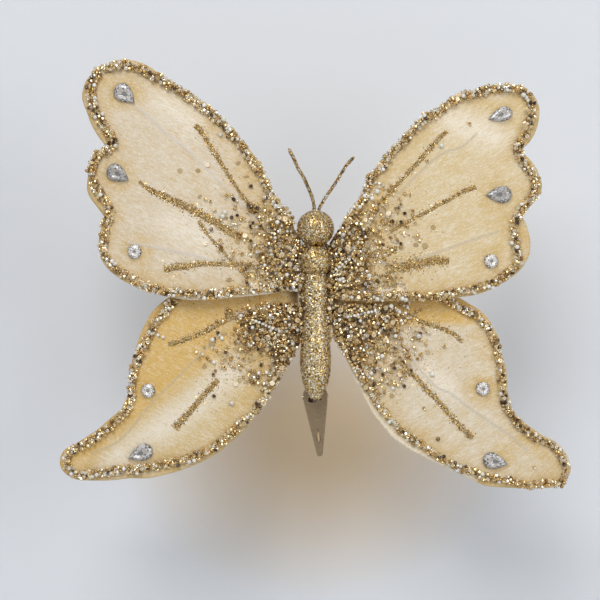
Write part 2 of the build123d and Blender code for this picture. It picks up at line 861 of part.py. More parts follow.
def make_moving_jaw():
    """The back half, which turns on the pin: its ears nest inside the front half's."""
    width = ear_width - 2 * (clip_sheet + ear_gap)
    plate_front = clip_depth - clip_sheet
    ear_low = pivot_height - ear_radius
    ear_high = pivot_height + ear_radius
    lever_low = ear_high
    run = lever_rise - ear_radius
    back = run * sin(radians(lever_splay))
    up = run * cos(radians(lever_splay))
    across = clip_sheet / cos(radians(lever_splay))
    plate = [
        (plate_front, -jaw_tip_drop - overrun),
        (clip_depth, -jaw_tip_drop - overrun),
        (clip_depth, lever_low),
        (clip_depth + back, lever_low + up),
        (clip_depth + back - across, lever_low + up),
        (plate_front, lever_low),
    ]
    side = [
        (clip_depth, -jaw_tip_drop - overrun),
        *tooth_line(tooth_gap / 2),
        (tooth_gap / 2, ear_low),
        (-ear_radius + clip_sheet, ear_low),
        (-ear_radius + clip_sheet, ear_high - clip_sheet),
        (0, ear_high),
        (plate_front - lever_rim, ear_high),
        (plate_front - lever_rim + back, lever_low + up),
        (clip_depth + back - across / 2, lever_low + up),
        (clip_depth, lever_low),
    ]
    with BuildPart() as clip_moving_jaw:
        with BuildSketch(Plane.YZ):
            with BuildLine():
                Polyline(*plate, close=True)
            make_face()
        extrude(amount=ear_width, both=True)
        extrude(clip_plan(0, width), amount=clip_length, both=True, mode=Mode.INTERSECT)
        add(clip_walls(width, side))
        with Locations(Location((0, 0, pivot_height), (0, 90, 0))):
            Cylinder(pin_diameter / 2 + pin_play, 2 * ear_width, mode=Mode.SUBTRACT)
    save(clip_moving_jaw.part.moved(clip_lean), "clip_moving_jaw")


def make_pin():
    """The rivet that both halves turn on, its heads outside the front half's ears."""
    with BuildPart() as clip_pin:
        with BuildSketch(Plane.YZ):
            with Locations((0, pivot_height)):
                Circle(pin_diameter / 2)
        extrude(amount=ear_width / 2, both=True)
        for side in (-1, 1):
            with BuildSketch(Plane.YZ.offset(side * (ear_width / 2))):
                with Locations((0, pivot_height)):
                    Circle(pin_head_diameter / 2)
            extrude(amount=side * pin_head_thickness)
    save(clip_pin.part.moved(clip_lean), "clip_pin")


def make_spring():
    """The leaf spring: a foot on the front plate, a bow past the pin, a tail under the back lever."""
    lie = clip_sheet - clip_depth + spring_sheet / 2 + trim_gap
    splay = radians(lever_splay)
    bend_height = pivot_height + ear_radius + spring_bow
    tail_height_on_lever = pivot_height + spring_reach
    lever_face = clip_depth - clip_sheet / cos(splay)
    lever_there = lever_face + (spring_reach - ear_radius) * sin(splay) / cos(splay)
    tail_y = lever_there - spring_clearance - spring_sheet
    with BuildPart() as clip_spring:
        with BuildSketch(Plane.YZ):
            with BuildLine() as leaf:
                FilletPolyline(
                    (lie, spring_foot),
                    (lie, bend_height),
                    (tail_y, tail_height_on_lever),
                    (tail_y - spring_curl, tail_height_on_lever + spring_curl),
                    radius=spring_sheet * 2,
                )
            trace(leaf.line, spring_sheet)
        extrude(amount=spring_width / 2, both=True)
    save(clip_spring.part.moved(clip_lean), "clip_spring")


os.makedirs("parts", exist_ok=True)
make_body()
save(antenna(-1, left_antenna_diameter), "left_antenna")
save(antenna(1, right_antenna_diameter), "right_antenna")
make_glue_bed()
make_clip_glue()
make_fixed_jaw()
make_moving_jaw()
make_pin()
make_spring()
for wing in wings:
    make_cloths(wing)
    make_wires(wing)
    make_edging(wing)
    make_veins(wing)
    make_root_beads(wing)
    make_stones(wing)
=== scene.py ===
"""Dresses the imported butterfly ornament: satin wings, bead edging, glitter body, stones and clip."""

from itertools import product
from math import cos, pi, radians, sin, tan

import bpy
import numpy as np
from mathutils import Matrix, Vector, geometry, noise


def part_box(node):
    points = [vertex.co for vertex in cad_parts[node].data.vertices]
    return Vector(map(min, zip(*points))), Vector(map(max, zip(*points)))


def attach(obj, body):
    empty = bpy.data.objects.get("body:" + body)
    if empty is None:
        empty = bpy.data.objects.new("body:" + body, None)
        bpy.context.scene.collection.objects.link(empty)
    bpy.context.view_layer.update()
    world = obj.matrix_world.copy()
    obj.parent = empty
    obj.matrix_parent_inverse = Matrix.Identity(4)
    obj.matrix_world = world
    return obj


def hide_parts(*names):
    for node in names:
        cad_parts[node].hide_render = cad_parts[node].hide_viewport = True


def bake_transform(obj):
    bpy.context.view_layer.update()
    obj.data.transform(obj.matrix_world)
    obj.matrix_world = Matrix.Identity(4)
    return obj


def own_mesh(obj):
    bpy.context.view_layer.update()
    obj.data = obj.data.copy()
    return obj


bl_info = {
    "name": "Butterfly ornament",
    "version": (1, 0, 0),
    "blender": (4, 5, 0),
    "location": "View3D > Sidebar > Butterfly",
    "description": "Satin wings, bead edging, glitter body, stones and clip on the packed frame",
    "category": "Object",
}

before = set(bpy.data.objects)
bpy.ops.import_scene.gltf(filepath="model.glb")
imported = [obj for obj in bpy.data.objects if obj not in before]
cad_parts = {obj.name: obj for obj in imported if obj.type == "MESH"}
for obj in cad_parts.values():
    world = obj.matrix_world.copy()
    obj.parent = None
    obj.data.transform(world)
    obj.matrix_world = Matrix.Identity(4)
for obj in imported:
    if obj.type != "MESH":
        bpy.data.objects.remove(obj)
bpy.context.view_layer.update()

# Lengths below are millimetres in the frame's own axes; meshes are written in metres.
MM = 0.001
PER_METRE = 1000.0
PIXEL = 0.4854  # millimetres of the ornament for one pixel of the photograph
PHOTO_SIDE = 600  # pixels along a side of the photograph
AXIS_COLUMN = 315.4  # the photograph's column at the body's middle
ORIGIN_ROW = 435.0  # the photograph's row at height zero
BODY_X = -1.444
BODY_Y = -10.6
HINGE_Y = -5.6
HINGE_ACROSS = 7.5  # from the body's middle to a wing's hinge
ROOT_ACROSS = 9.6  # from the body's middle to a wing's stiff part
FOREWING_TRAVEL = 35.0  # degrees a forewing turns forward
BEAD_BEND = (7.4, 12.5)  # beads between these distances from the body's middle count as bending with a wing's root when their clearance from the body is worked out
CLOTH_FACE = 0.65  # from a wing's middle surface to its cloths' outer faces
CLOTH_THICK = 0.22
HEAD_HEIGHT = 100.0
HEAD_RADIUS = 8.75
NECK_HEIGHT = 91.65
THORAX_HEIGHT = 84.4
THORAX_RADIUS = 7.65
THORAX_LOW = 78.1
TAIL_HEIGHT = 16.0
ABDOMEN_LENGTH = 62.1
ABDOMEN_RADIUS = 7.3


# Wings: what the photograph shows, as columns and rows of it

class Ground:
    """A surface that pieces are laid on, by spots across and up."""

    fore = False

    def lay(self, flat, lift):
        """Points in front of the surface by the lift."""
        place, out, _ = self.frames(flat)
        return place + out * np.asarray(lift).reshape(-1, 1)


class Wing(Ground):
    """One wing: where its camber lies, and its lines as spots of the photograph."""

    def __init__(self, name, side, stagger, lead, camber):
        self.name = name
        self.side = side
        self.fore = "forewing" in name
        self.camber = camber
        root_x = BODY_X + side * ROOT_ACROSS
        root_y = HINGE_Y + stagger
        self.centre_x = root_x + side * camber * sin(radians(lead))
        self.centre_y = root_y + camber * cos(radians(lead))

    def frames(self, flat):
        """Place, outward direction and sideways direction of the middle surface at flat spots."""
        dx = flat[:, 0] - self.centre_x
        dy = -np.sqrt(self.camber**2 - dx**2)
        zero = np.zeros(len(dx))
        out = np.stack([dx, dy, zero], 1) / self.camber
        sideways = np.stack([-dy, dx, zero], 1) / self.camber
        place = np.stack([flat[:, 0], self.centre_y + dy, flat[:, 1]], 1)
        return place, out, sideways


class Front(Ground):
    """An upright plane in front of the body's sides."""

    def __init__(self, y):
        self.y = y

    def frames(self, flat):
        """Place, outward direction and sideways direction at flat spots."""
        count = len(flat)
        place = np.stack([flat[:, 0], np.full(count, self.y), flat[:, 1]], 1)
        return place, np.tile([[0.0, -1.0, 0.0]], (count, 1)), np.tile([[1.0, 0.0, 0.0]], (count, 1))


# Side, stagger in depth, lead of the root in degrees, and radius of the camber
LEFT_FOREWING = Wing("left_forewing", -1, -1.1, 10.0, 300.0)
RIGHT_FOREWING = Wing("right_forewing", 1, -1.1, 10.0, 300.0)
LEFT_HINDWING = Wing("left_hindwing", -1, 1.1, 4.0, 400.0)
RIGHT_HINDWING = Wing("right_hindwing", 1, 1.1, 4.0, 400.0)
WINGS = [LEFT_FOREWING, RIGHT_FOREWING, LEFT_HINDWING, RIGHT_HINDWING]

# The satin in the middle of each wing, 0-255
LEFT_FOREWING.cream = (214, 202, 182)
RIGHT_FOREWING.cream = (214, 196, 158)
LEFT_HINDWING.cream = (210, 190, 148)
RIGHT_HINDWING.cream = (214, 203, 182)

# How the wires show through the satin, 0-255
LEFT_FOREWING.wire_tone = (206, 200, 196)
RIGHT_FOREWING.wire_tone = (190, 176, 156)
LEFT_HINDWING.wire_tone = (190, 176, 148)
RIGHT_HINDWING.wire_tone = (192, 184, 170)

# Width of each bead rope as a share of the one that is set
LEFT_FOREWING.rope_share = 0.95
RIGHT_FOREWING.rope_share = 0.88
LEFT_HINDWING.rope_share = 0.9
RIGHT_HINDWING.rope_share = 0.8

# Where the satin is palest: a line, and how far from it in millimetres the pale cloth reaches
LEFT_FOREWING.pale = [([(182, 299), (215, 299), (245, 296.5), (275, 293), (300, 288)], 3.5),
                      ([(165, 104), (190, 122)], 11.0), ([(175, 225), (205, 240)], 13.0)]
RIGHT_FOREWING.pale = [([(450, 122), (492, 138)], 13.0), ([(400, 290), (350, 290)], 5.0)]
LEFT_HINDWING.pale = [([(232, 372), (190, 408), (112, 462)], 13.0), ([(72, 466), (78, 462)], 5.0)]
RIGHT_HINDWING.pale = [([(337, 342), (350, 368), (370, 408), (400, 443), (440, 465), (472, 479)], 4.0),
                       ([(430, 372), (448, 388)], 9.0), ([(556, 446), (572, 464)], 4.0)]

# The edge of the deep gold painted as a forewing's shade on a hindwing: a line, how soft it is in
# millimetres, and its strength
LEFT_HINDWING.deep = ([(248, 330), (130, 428)], 8.0, 0.8)
RIGHT_HINDWING.deep = ([(333, 328), (520, 322)], 4.0, 0.95)

# The outline of each wing, in stretches between its notches
LEFT_FOREWING.outline = [
    [(300, 237), (294, 230), (291, 225), (288, 215), (282, 205), (275, 195), (268, 185), (263, 175),
     (262, 168), (250, 151), (240, 139), (230, 126), (220, 117), (210, 108), (200, 101), (190, 94),
     (180, 88), (170, 81), (160, 75), (150, 68), (137, 63), (125, 61), (112, 63), (103, 66), (97, 70),
     (92, 76), (87, 82), (84, 90), (83, 98), (85, 106), (88, 113), (91, 122), (95, 130), (100, 138),
     (106, 146), (107, 149)],
    [(107, 149), (100, 151), (95, 154), (92, 160), (90, 167), (89, 175), (88, 183), (88, 190), (91, 198),
     (97, 206), (103, 214), (106, 218)],
    [(106, 218), (103, 226), (101, 233), (100, 240), (100, 248), (101, 255), (104, 262), (109, 269),
     (116, 275), (125, 281), (135, 286), (145, 290), (155, 293), (165, 296), (175, 298), (190, 300),
     (200, 300), (215, 299), (230, 298), (245, 296.5), (260, 295), (275, 293), (290, 290), (300, 288)],
]
RIGHT_FOREWING.outline = [
    [(330, 243), (336, 234), (342, 226), (348, 217), (355, 208), (358.5, 200), (363, 190), (367, 180),
     (374, 170), (383, 160), (393, 150), (400, 140), (409, 130), (421, 120), (437, 110), (452, 100),
     (461, 95), (478, 90), (490, 87), (505, 85.5), (515, 86), (523, 88), (530, 93), (535, 100),
     (538, 108), (538, 118), (536, 127), (533, 135), (528, 143), (522, 149), (519, 152)],
    [(519, 152), (524, 156), (530, 162), (536, 170), (540, 180), (541, 186), (540, 191), (537, 196),
     (532, 203), (527, 209), (524, 213), (520, 217)],
    [(520, 217), (523, 221), (526, 228), (528, 236), (529, 245), (528, 255), (524, 263), (519, 270),
     (512, 276), (505, 281), (498, 285), (488, 290), (477, 294), (465, 296.5), (450, 298), (430, 300),
     (400, 301), (360, 301), (340, 300), (331, 298)],
]
LEFT_HINDWING.outline = [
    [(300, 292), (270, 289), (240, 287), (200, 289), (180, 293), (168, 298), (160, 304), (152, 312),
     (147, 320), (142, 330), (138, 340), (135, 350), (132.5, 360), (131, 370), (129.5, 380), (129, 387),
     (127.5, 395), (125, 402), (120, 410), (113, 416), (105, 423), (97, 430), (88, 436), (80, 441),
     (72, 446), (64, 450), (60, 454), (57, 461), (57.5, 468), (61, 474), (68, 479), (76, 481.5),
     (85, 482), (100, 482), (115, 481), (130, 479), (145, 479), (155, 477.5), (165, 475), (178, 471.5),
     (190, 467), (202, 462), (213, 456), (222, 450), (230, 443), (238, 436), (245, 429), (250, 423),
     (256, 416), (262, 408), (268, 398), (272, 390), (278, 380), (284, 370), (290, 360), (296, 350),
     (300, 343)],
]
RIGHT_HINDWING.outline = [
    [(331, 294), (360, 290), (400, 288), (430, 290), (455, 297), (460, 298), (468, 303), (475, 307),
     (482, 312), (489, 320), (495, 330), (500, 340), (502, 350), (504.5, 360), (507, 370), (508, 380),
     (508.5, 390), (510, 400), (513, 408), (519, 417), (527, 424), (536, 431), (545, 437), (554, 441),
     (562, 447), (569, 455), (573, 464), (574, 472), (572, 478), (568, 484), (560, 488), (550, 490),
     (540, 490), (528, 489.5), (515, 489), (500, 488), (485, 486), (470, 479), (460, 474), (450, 470),
     (440, 465), (430, 460), (420, 455), (410, 450), (400, 443), (390, 435), (382, 425), (375, 417),
     (370, 408), (362, 393), (355, 380), (350, 368), (346, 358), (341, 350), (337, 342), (333, 335)],
]

# The middle line of each wing's bead rope
LEFT_FOREWING.rope = [
    (295, 233), (286, 216), (272, 197), (260, 174), (247, 154), (228, 131), (208, 112), (190, 99),
    (160, 80), (150, 76), (140, 69), (125, 66), (110, 69), (100, 73), (94, 82), (92, 92), (94, 102),
    (96, 112), (101, 120), (106, 128), (112, 136), (115, 143), (112, 149), (108, 152), (100, 155),
    (95, 162), (93, 172), (95, 182), (99, 190), (104, 197), (109, 205), (112, 212), (110, 220),
    (106, 228), (106, 238), (104, 247), (107, 256), (112, 264), (120, 270), (128, 276), (137, 281),
    (147, 286), (157, 289), (168, 291), (178, 292), (190, 294), (200, 295), (215, 294), (230, 292),
    (245, 290), (260, 288), (280, 287), (297, 286),
]
RIGHT_FOREWING.rope = [
    (336, 241), (342, 232), (350, 218), (360, 203), (367, 190), (370, 180), (380, 170), (388, 158),
    (400, 145), (410, 134), (422, 122), (432, 116), (442, 110), (450, 104), (460, 98), (470, 96),
    (480, 94), (490, 90), (500, 90), (510, 89), (520, 92), (527, 98), (530, 105), (529, 115),
    (528, 125), (525, 132), (520, 140), (517, 148), (517, 156), (522, 163), (525, 170), (530, 175),
    (534, 182), (534, 190), (531, 198), (525, 205), (518, 212), (514, 220), (512, 228), (513, 240),
    (515, 250), (516, 258), (513, 266), (505, 274), (498, 279), (490, 284), (480, 287), (470, 290),
    (460, 292), (450, 293), (440, 295), (430, 297), (400, 296), (370, 297), (350, 296), (336, 295),
]
LEFT_HINDWING.rope = [
    (178, 298), (170, 305), (165, 312), (158, 320), (153, 328), (149, 335), (146, 342), (142, 350),
    (138, 358), (135, 367), (133, 377), (132, 388), (131, 400), (127, 408), (121, 416), (113, 424),
    (103, 432), (96, 438), (86, 444), (77, 449), (68, 454), (64, 461), (66, 469), (72, 475), (80, 477),
    (100, 474), (125, 470), (140, 469), (152, 467), (165, 464), (178, 462), (190, 458), (202, 453),
    (215, 446), (225, 439), (235, 430), (245, 420), (253, 412), (260, 404), (266, 396), (270, 388),
    (280, 370), (286, 360), (292, 350), (297, 342),
]
RIGHT_HINDWING.rope = [
    (440, 299), (452, 303), (462, 309), (470, 312), (478, 317), (485, 323), (490, 332), (495, 342),
    (498, 352), (500, 362), (501, 372), (502, 382), (503, 392), (505, 402), (508, 410), (514, 418),
    (520, 426), (528, 433), (536, 438), (545, 442), (555, 447), (562, 455), (567, 465), (569, 475),
    (566, 483), (558, 486), (548, 485), (528, 487), (508, 481), (488, 477), (468, 471), (448, 463),
    (428, 449), (408, 436), (392, 420), (378, 404), (364, 382), (352, 362), (345, 350), (337, 339),
]

# Glitter-glue veins: spots, and the width in millimetres at the start, in the middle and at the end
LEFT_FOREWING.veins = [
    ([(196, 127), (203, 134), (210, 146), (219, 160), (227, 173), (235, 185), (243, 197), (255, 212)],
     (1.9, 1.2, 1.0)),
    ([(141, 183), (150, 190), (165, 197), (180, 204), (195, 211), (205, 217), (218, 224), (228, 231),
      (240, 238)], (0.9, 3.0, 2.2)),
    ([(200, 222), (210, 237), (222, 250), (230, 259), (240, 270), (248, 277)], (1.1, 0.9, 1.0)),
    ([(166, 270), (175, 268), (190, 266), (205, 264), (220, 264), (235, 265), (250, 266), (265, 267)],
     (2.4, 1.8, 1.8)),
]
RIGHT_FOREWING.veins = [
    ([(445, 133), (437, 141), (430, 149), (422, 158), (415, 166), (407, 174), (398, 184), (390, 193),
      (380, 205)], (1.8, 1.3, 1.2)),
    ([(474, 188), (460, 193), (450, 199), (437, 206), (425, 213), (413, 219), (400, 226), (390, 232)],
     (1.6, 1.1, 1.2)),
    ([(447, 262), (435, 260), (425, 262), (412, 264), (400, 267), (385, 270)], (2.4, 4.2, 3.2)),
]
LEFT_HINDWING.veins = [
    ([(169, 345), (180, 341), (195, 336), (210, 329), (225, 321), (240, 316), (250, 312)],
     (1.5, 1.9, 1.6)),
    ([(175, 428), (182, 420), (190, 412), (197, 403), (203, 396), (210, 389), (218, 380)],
     (2.3, 1.8, 1.6)),
]
RIGHT_HINDWING.veins = [
    ([(462, 342), (455, 335), (445, 330), (435, 326), (425, 323), (418, 320)], (1.4, 1.5, 1.5)),
    ([(472, 438), (462, 428), (450, 415), (440, 403), (430, 393), (422, 384), (412, 374), (400, 362)],
     (1.9, 1.9, 1.7)),
]

# Wires that show through the cloth as soft ridges
LEFT_FOREWING.wires = [
    [(137, 107), (155, 122), (170, 136), (190, 152), (205, 167), (220, 182), (235, 195), (245, 208),
     (299, 262)],
    [(130, 243), (150, 246), (170, 250), (190, 254), (210, 260), (220, 264), (299, 267)],
]
RIGHT_FOREWING.wires = [
    [(475, 135), (460, 148), (440, 155), (420, 172), (410, 182), (333, 258)],
    [(497, 232), (480, 237), (460, 244), (440, 251), (420, 258), (410, 262), (333, 266)],
]
LEFT_HINDWING.wires = [[(90, 455), (120, 440), (150, 405), (185, 370), (240, 315), (280, 300)]]
RIGHT_HINDWING.wires = [
    [(530, 452), (510, 435), (490, 422), (470, 408), (450, 393), (432, 383), (390, 335), (352, 306)],
]

# Stones: the middle, which way the point looks in degrees, the length and the width in millimetres
LEFT_FOREWING.pears = [((126.5, 96), -41.0, 12.6, 9.2), ((119.5, 175), -31.0, 12.4, 8.8)]
RIGHT_FOREWING.pears = [((498.5, 116.5), 200.0, 12.6, 7.2), ((497, 195.5), 182.0, 13.2, 8.6)]
LEFT_HINDWING.pears = [((140, 454), 203.0, 13.4, 8.4)]
RIGHT_HINDWING.pears = [((496, 462), -13.0, 13.2, 8.4)]
LEFT_FOREWING.round_stone = (136, 252)
RIGHT_FOREWING.round_stone = (489.5, 261.5)
LEFT_HINDWING.round_stone = (148, 391)
RIGHT_HINDWING.round_stone = (483, 389)

# Heaps of beads near the body: a field's corners, how many beads are dropped, how strongly they
# gather at the body's side, and the highest heap in millimetres
LEFT_FOREWING.heaps = [
    ([(300, 240), (288, 222), (280, 214), (268, 232), (260, 256), (262, 280), (270, 292), (299, 286)],
     640, 0.5, 3.4),
    ([(299, 240), (280, 210), (268, 196), (246, 206), (226, 222), (242, 250), (240, 272), (250, 291),
      (299, 286)], 420, 1.6, 2.0),
    ([(240, 250), (262, 225), (275, 200), (232, 190), (206, 198), (204, 240), (236, 284)], 60, 1.0, 1.6),
]
RIGHT_FOREWING.heaps = [
    ([(332, 246), (345, 224), (352, 214), (362, 226), (372, 246), (370, 272), (374, 297), (333, 297)],
     700, 0.5, 3.4),
    ([(332, 246), (350, 216), (364, 196), (392, 204), (408, 226), (398, 256), (410, 298), (333, 297)],
     520, 1.5, 2.0),
    ([(357, 207), (372, 178), (412, 186), (422, 240), (404, 262), (394, 234)], 70, 1.0, 1.6),
]
LEFT_HINDWING.heaps = [
    ([(298, 304), (262, 302), (244, 306), (238, 316), (252, 330), (262, 346), (276, 366), (284, 366),
      (298, 340)], 620, 0.5, 3.2),
    ([(298, 304), (236, 302), (216, 314), (196, 356), (214, 376), (250, 384), (266, 394), (298, 340)],
     430, 1.3, 2.0),
    ([(238, 314), (284, 316), (288, 346), (244, 346)], 160, 0.4, 3.6),
]
RIGHT_HINDWING.heaps = [
    ([(333, 304), (392, 304), (408, 318), (398, 332), (376, 336), (362, 352), (350, 362), (340, 346),
      (333, 334)], 900, 0.4, 3.4),
    ([(333, 304), (426, 304), (430, 330), (424, 356), (396, 390), (372, 402), (350, 364), (333, 334)],
     640, 1.1, 2.2),
]

# Patches of glitter glue that hold the heaps: a line, and its width at the start, middle and end
LEFT_FOREWING.patches = [
    ([(296, 252), (280, 236), (266, 220), (255, 205)], (13.0, 9.0, 3.0)),
    ([(296, 262), (272, 254), (250, 248)], (14.0, 12.0, 4.0)),
    ([(296, 276), (270, 276), (246, 274)], (13.0, 11.0, 5.0)),
]
RIGHT_FOREWING.patches = [
    ([(335, 254), (352, 236), (370, 216), (384, 200)], (12.0, 10.0, 3.0)),
    ([(335, 264), (365, 256), (396, 250)], (14.0, 13.0, 4.0)),
    ([(335, 280), (365, 280), (396, 284)], (14.0, 12.0, 5.0)),
]
LEFT_HINDWING.patches = [
    ([(296, 310), (265, 311), (226, 316)], (9.0, 9.0, 4.0)),
    ([(296, 320), (270, 330), (246, 348)], (12.0, 13.0, 5.0)),
    ([(294, 334), (282, 356), (268, 382)], (8.0, 8.0, 4.0)),
]
RIGHT_HINDWING.patches = [
    ([(335, 310), (372, 312), (414, 318)], (9.0, 10.0, 4.0)),
    ([(336, 320), (360, 334), (388, 350)], (12.0, 13.0, 5.0)),
    ([(338, 332), (350, 352), (362, 374)], (8.0, 8.0, 4.0)),
]

# Short strings of white beads: the two ends
LEFT_FOREWING.strings = [((293, 262), (298, 274))]
RIGHT_FOREWING.strings = [((334, 272), (350, 260))]
LEFT_HINDWING.strings = [((256, 321), (279, 331)), ((285, 322), (297, 330)), ((153, 333), (163, 337))]
RIGHT_HINDWING.strings = [((348, 317), (375, 311)), ((409, 302), (405, 313))]

# Single beads that strayed onto the cloth, and flat clear discs that lie on it
LEFT_FOREWING.strays = {
    "bead_dark": [(251, 187), (234, 200), (248, 206), (257, 209), (228, 138), (243, 148), (297.5, 231)],
    "pearl_white": [(221, 136), (104, 115), (225, 213), (276, 223), (223, 217)],
    "bead_gold": [(211, 202), (206, 200), (232, 196), (226, 196)],
    "disc_clear": [(181, 172), (199, 172), (208, 166), (201, 198), (239, 164.5), (238, 242), (206, 244),
                   (230, 280), (247, 178), (236, 222)],
}
RIGHT_FOREWING.strays = {
    "bead_dark": [(511, 273), (404, 214), (392, 222)],
    "pearl_white": [(440, 147), (372, 199)],
    "bead_gold": [(422, 115), (468, 125), (426, 162), (417, 236)],
    "disc_clear": [(402, 176), (388, 214), (424, 246), (410, 196), (432, 228)],
}
LEFT_HINDWING.strays = {
    "bead_dark": [(214, 396), (226, 352)],
    "pearl_white": [(232, 403), (222, 338)],
    "bead_gold": [(196, 352), (222, 362), (240, 368)],
    "disc_clear": [(212, 344), (204, 366), (236, 384)],
}
RIGHT_HINDWING.strays = {
    "bead_dark": [(438, 439), (404, 386)],
    "pearl_white": [(432, 374), (418, 336)],
    "bead_gold": [(424, 408), (536, 468), (444, 346)],
    "disc_clear": [(408, 362), (428, 352), (392, 396)],
}


CURVE_STEPS = 12  # straight steps between two given points of a smooth line
TINY = 1e-12
FAR = 1e9


def spots(points):
    """Spots of the photograph as across and up in the frame, in millimetres."""
    table = np.array(points, float).reshape(-1, 2)
    across = BODY_X + (table[:, 0] - AXIS_COLUMN) * PIXEL
    return np.stack([across, (ORIGIN_ROW - table[:, 1]) * PIXEL], 1)


def steps_along(line, step):
    """The line again, in even steps."""
    gone = np.concatenate([[0], np.cumsum(np.linalg.norm(np.diff(line, axis=0), axis=1))])
    count = max(2, int(gone[-1] / step) + 1)
    at = np.linspace(0, gone[-1], count)
    return np.stack([np.interp(at, gone, line[:, axis]) for axis in range(line.shape[1])], 1)


def smooth(points, step):
    """A smooth line through the points, in even steps."""
    padded = np.concatenate([[2 * points[0] - points[1]], points, [2 * points[-1] - points[-2]]])
    share = np.linspace(0, 1, CURVE_STEPS, endpoint=False).reshape(-1, 1)
    runs = []
    for a, b, c, d in zip(padded, padded[1:], padded[2:], padded[3:]):
        runs.append(0.5 * (2 * b + (c - a) * share + (2 * a - 5 * b + 4 * c - d) * share**2
                           + (3 * b - a - 3 * c + d) * share**3))
    return steps_along(np.concatenate([*runs, points[-1:]]), step)


def directions(line):
    """Unit direction along a line at each of its points."""
    way = np.gradient(line, axis=0)
    return way / np.maximum(np.linalg.norm(way, axis=1, keepdims=True), TINY)


def line_sides(line):
    """Unit direction to one side of a flat line at each of its points."""
    way = directions(line)
    return np.stack([-way[:, 1], way[:, 0]], 1)


def distance_to(flat, line, closed=False):
    """Least distance from each flat spot to a line."""
    start = line if closed else line[:-1]
    end = np.roll(line, -1, 0) if closed else line[1:]
    best = np.full(len(flat), FAR)
    for a, b in zip(start, end):
        ab = b - a
        share = np.clip(((flat - a) @ ab) / max(ab @ ab, TINY), 0, 1)
        best = np.minimum(best, np.linalg.norm(flat - a - share[:, None] * ab, axis=1))
    return best


def inside(flat, loop):
    """Whether each flat spot lies inside the closed loop."""
    x, z = flat[:, 0], flat[:, 1]
    found = np.zeros(len(flat), bool)
    for (ax, az), (bx, bz) in zip(loop, np.roll(loop, -1, 0)):
        if az != bz:
            found ^= ((az > z) != (bz > z)) & (x < (bx - ax) * (z - az) / (bz - az) + ax)
    return found


def outline_of(wing, step):
    """The wing's closed outline, smooth between its notches."""
    parts = [smooth(spots(stretch), step)[:-1] for stretch in wing.outline]
    return np.concatenate([*parts, spots(wing.outline[-1][-1:])])


def from_middle(flat):
    """How far flat spots lie from the body's middle, to either side."""
    return np.abs(flat[:, 0] - BODY_X)


# Meshes

class Heap:
    """Collects many small forms and makes one mesh of them."""

    def __init__(self):
        self.verts, self.loops, self.sizes, self.finishes, self.flat = [], [], [], [], []
        self.count = 0

    def rows(self, faces, finish, is_flat):
        """Faces of one size, by the heap's own points, with one finish or one for each face."""
        faces = np.asarray(faces, int)
        self.loops.append(faces.ravel())
        self.sizes.append(np.full(len(faces), faces.shape[1], int))
        self.finishes.append(np.full(len(faces), finish, int))
        self.flat.append(np.full(len(faces), is_flat, bool))

    def add(self, verts, faces, finish=0, is_flat=False):
        """One form: its points, and its faces of any size."""
        verts = np.asarray(verts, float).reshape(-1, 3)
        for size in sorted({len(face) for face in faces}):
            chosen = np.array([face for face in faces if len(face) == size], int)
            self.rows(chosen + self.count, finish, is_flat)
        self.verts.append(verts)
        self.count += len(verts)

    def copies(self, form, places, turns, sizes, finish=0, is_flat=False):
        """The same form at many places, each turned and sized."""
        if len(places) == 0:
            return
        verts, faces = form
        posed = np.einsum("nij,mj->nmi", turns, verts) * np.reshape(sizes, (-1, 1, 1)) + places[:, None]
        shift = self.count + (np.arange(len(places)) * len(verts)).reshape(-1, 1, 1)
        for size in sorted({len(face) for face in faces}):
            chosen = np.array([face for face in faces if len(face) == size], int)
            self.rows((chosen[None] + shift).reshape(-1, size), finish, is_flat)
        self.verts.append(posed.reshape(-1, 3))
        self.count += len(places) * len(verts)

    def piece(self, name, finishes, values=None):
        """The mesh as an object in the scene, in metres."""
        verts = np.concatenate(self.verts) * MM
        loops, sizes = np.concatenate(self.loops), np.concatenate(self.sizes)
        mesh = bpy.data.meshes.new(name)
        mesh.vertices.add(len(verts))
        mesh.vertices.foreach_set("co", verts.astype(np.float32).ravel())
        mesh.loops.add(len(loops))
        mesh.loops.foreach_set("vertex_index", loops.astype(np.int32))
        mesh.polygons.add(len(sizes))
        starts = np.concatenate([[0], np.cumsum(sizes)[:-1]])
        mesh.polygons.foreach_set("loop_start", starts.astype(np.int32))
        mesh.polygons.foreach_set("loop_total", sizes.astype(np.int32))
        mesh.polygons.foreach_set("material_index", np.concatenate(self.finishes).astype(np.int32))
        mesh.polygons.foreach_set("use_smooth", ~np.concatenate(self.flat))
        for finish in finishes:
            mesh.materials.append(finish)
        for key, value in (values or {}).items():
            mesh.attributes.new(key, "FLOAT", "POINT").data.foreach_set("value", value.astype(np.float32))
        mesh.update(calc_edges=True)
        mesh.validate()
        made = bpy.data.objects.new(name, mesh)
        bpy.context.scene.collection.objects.link(made)
        return made


def tube_faces(rings, sides):
    """Faces of a tube of closed rings, with both ends closed."""
    faces = []
    for ring in range(rings - 1):
        here, there = ring * sides, (ring + 1) * sides
        for side in range(sides):
            after = (side + 1) % sides
            faces.append((here + side, here + after, there + after, there + side))
    faces.append(tuple(range(sides))[::-1])
    faces.append(tuple((rings - 1) * sides + side for side in range(sides)))
    return faces


def turned(profile, sides, closed=True):
    """A small form turned about Z from a profile of radius and height."""
    count = len(profile)
    turns = np.arange(sides) * 2 * pi / sides
    verts = [(r * cos(turn), r * sin(turn), z) for turn in turns for r, z in profile]
    faces = []
    for side in range(sides):
        here, there = side * count, (side + 1) % sides * count
        for row in range(count if closed else count - 1):
            after = (row + 1) % count
            faces.append((here + row, there + row, there + after, here + after))
    return np.array(verts), faces


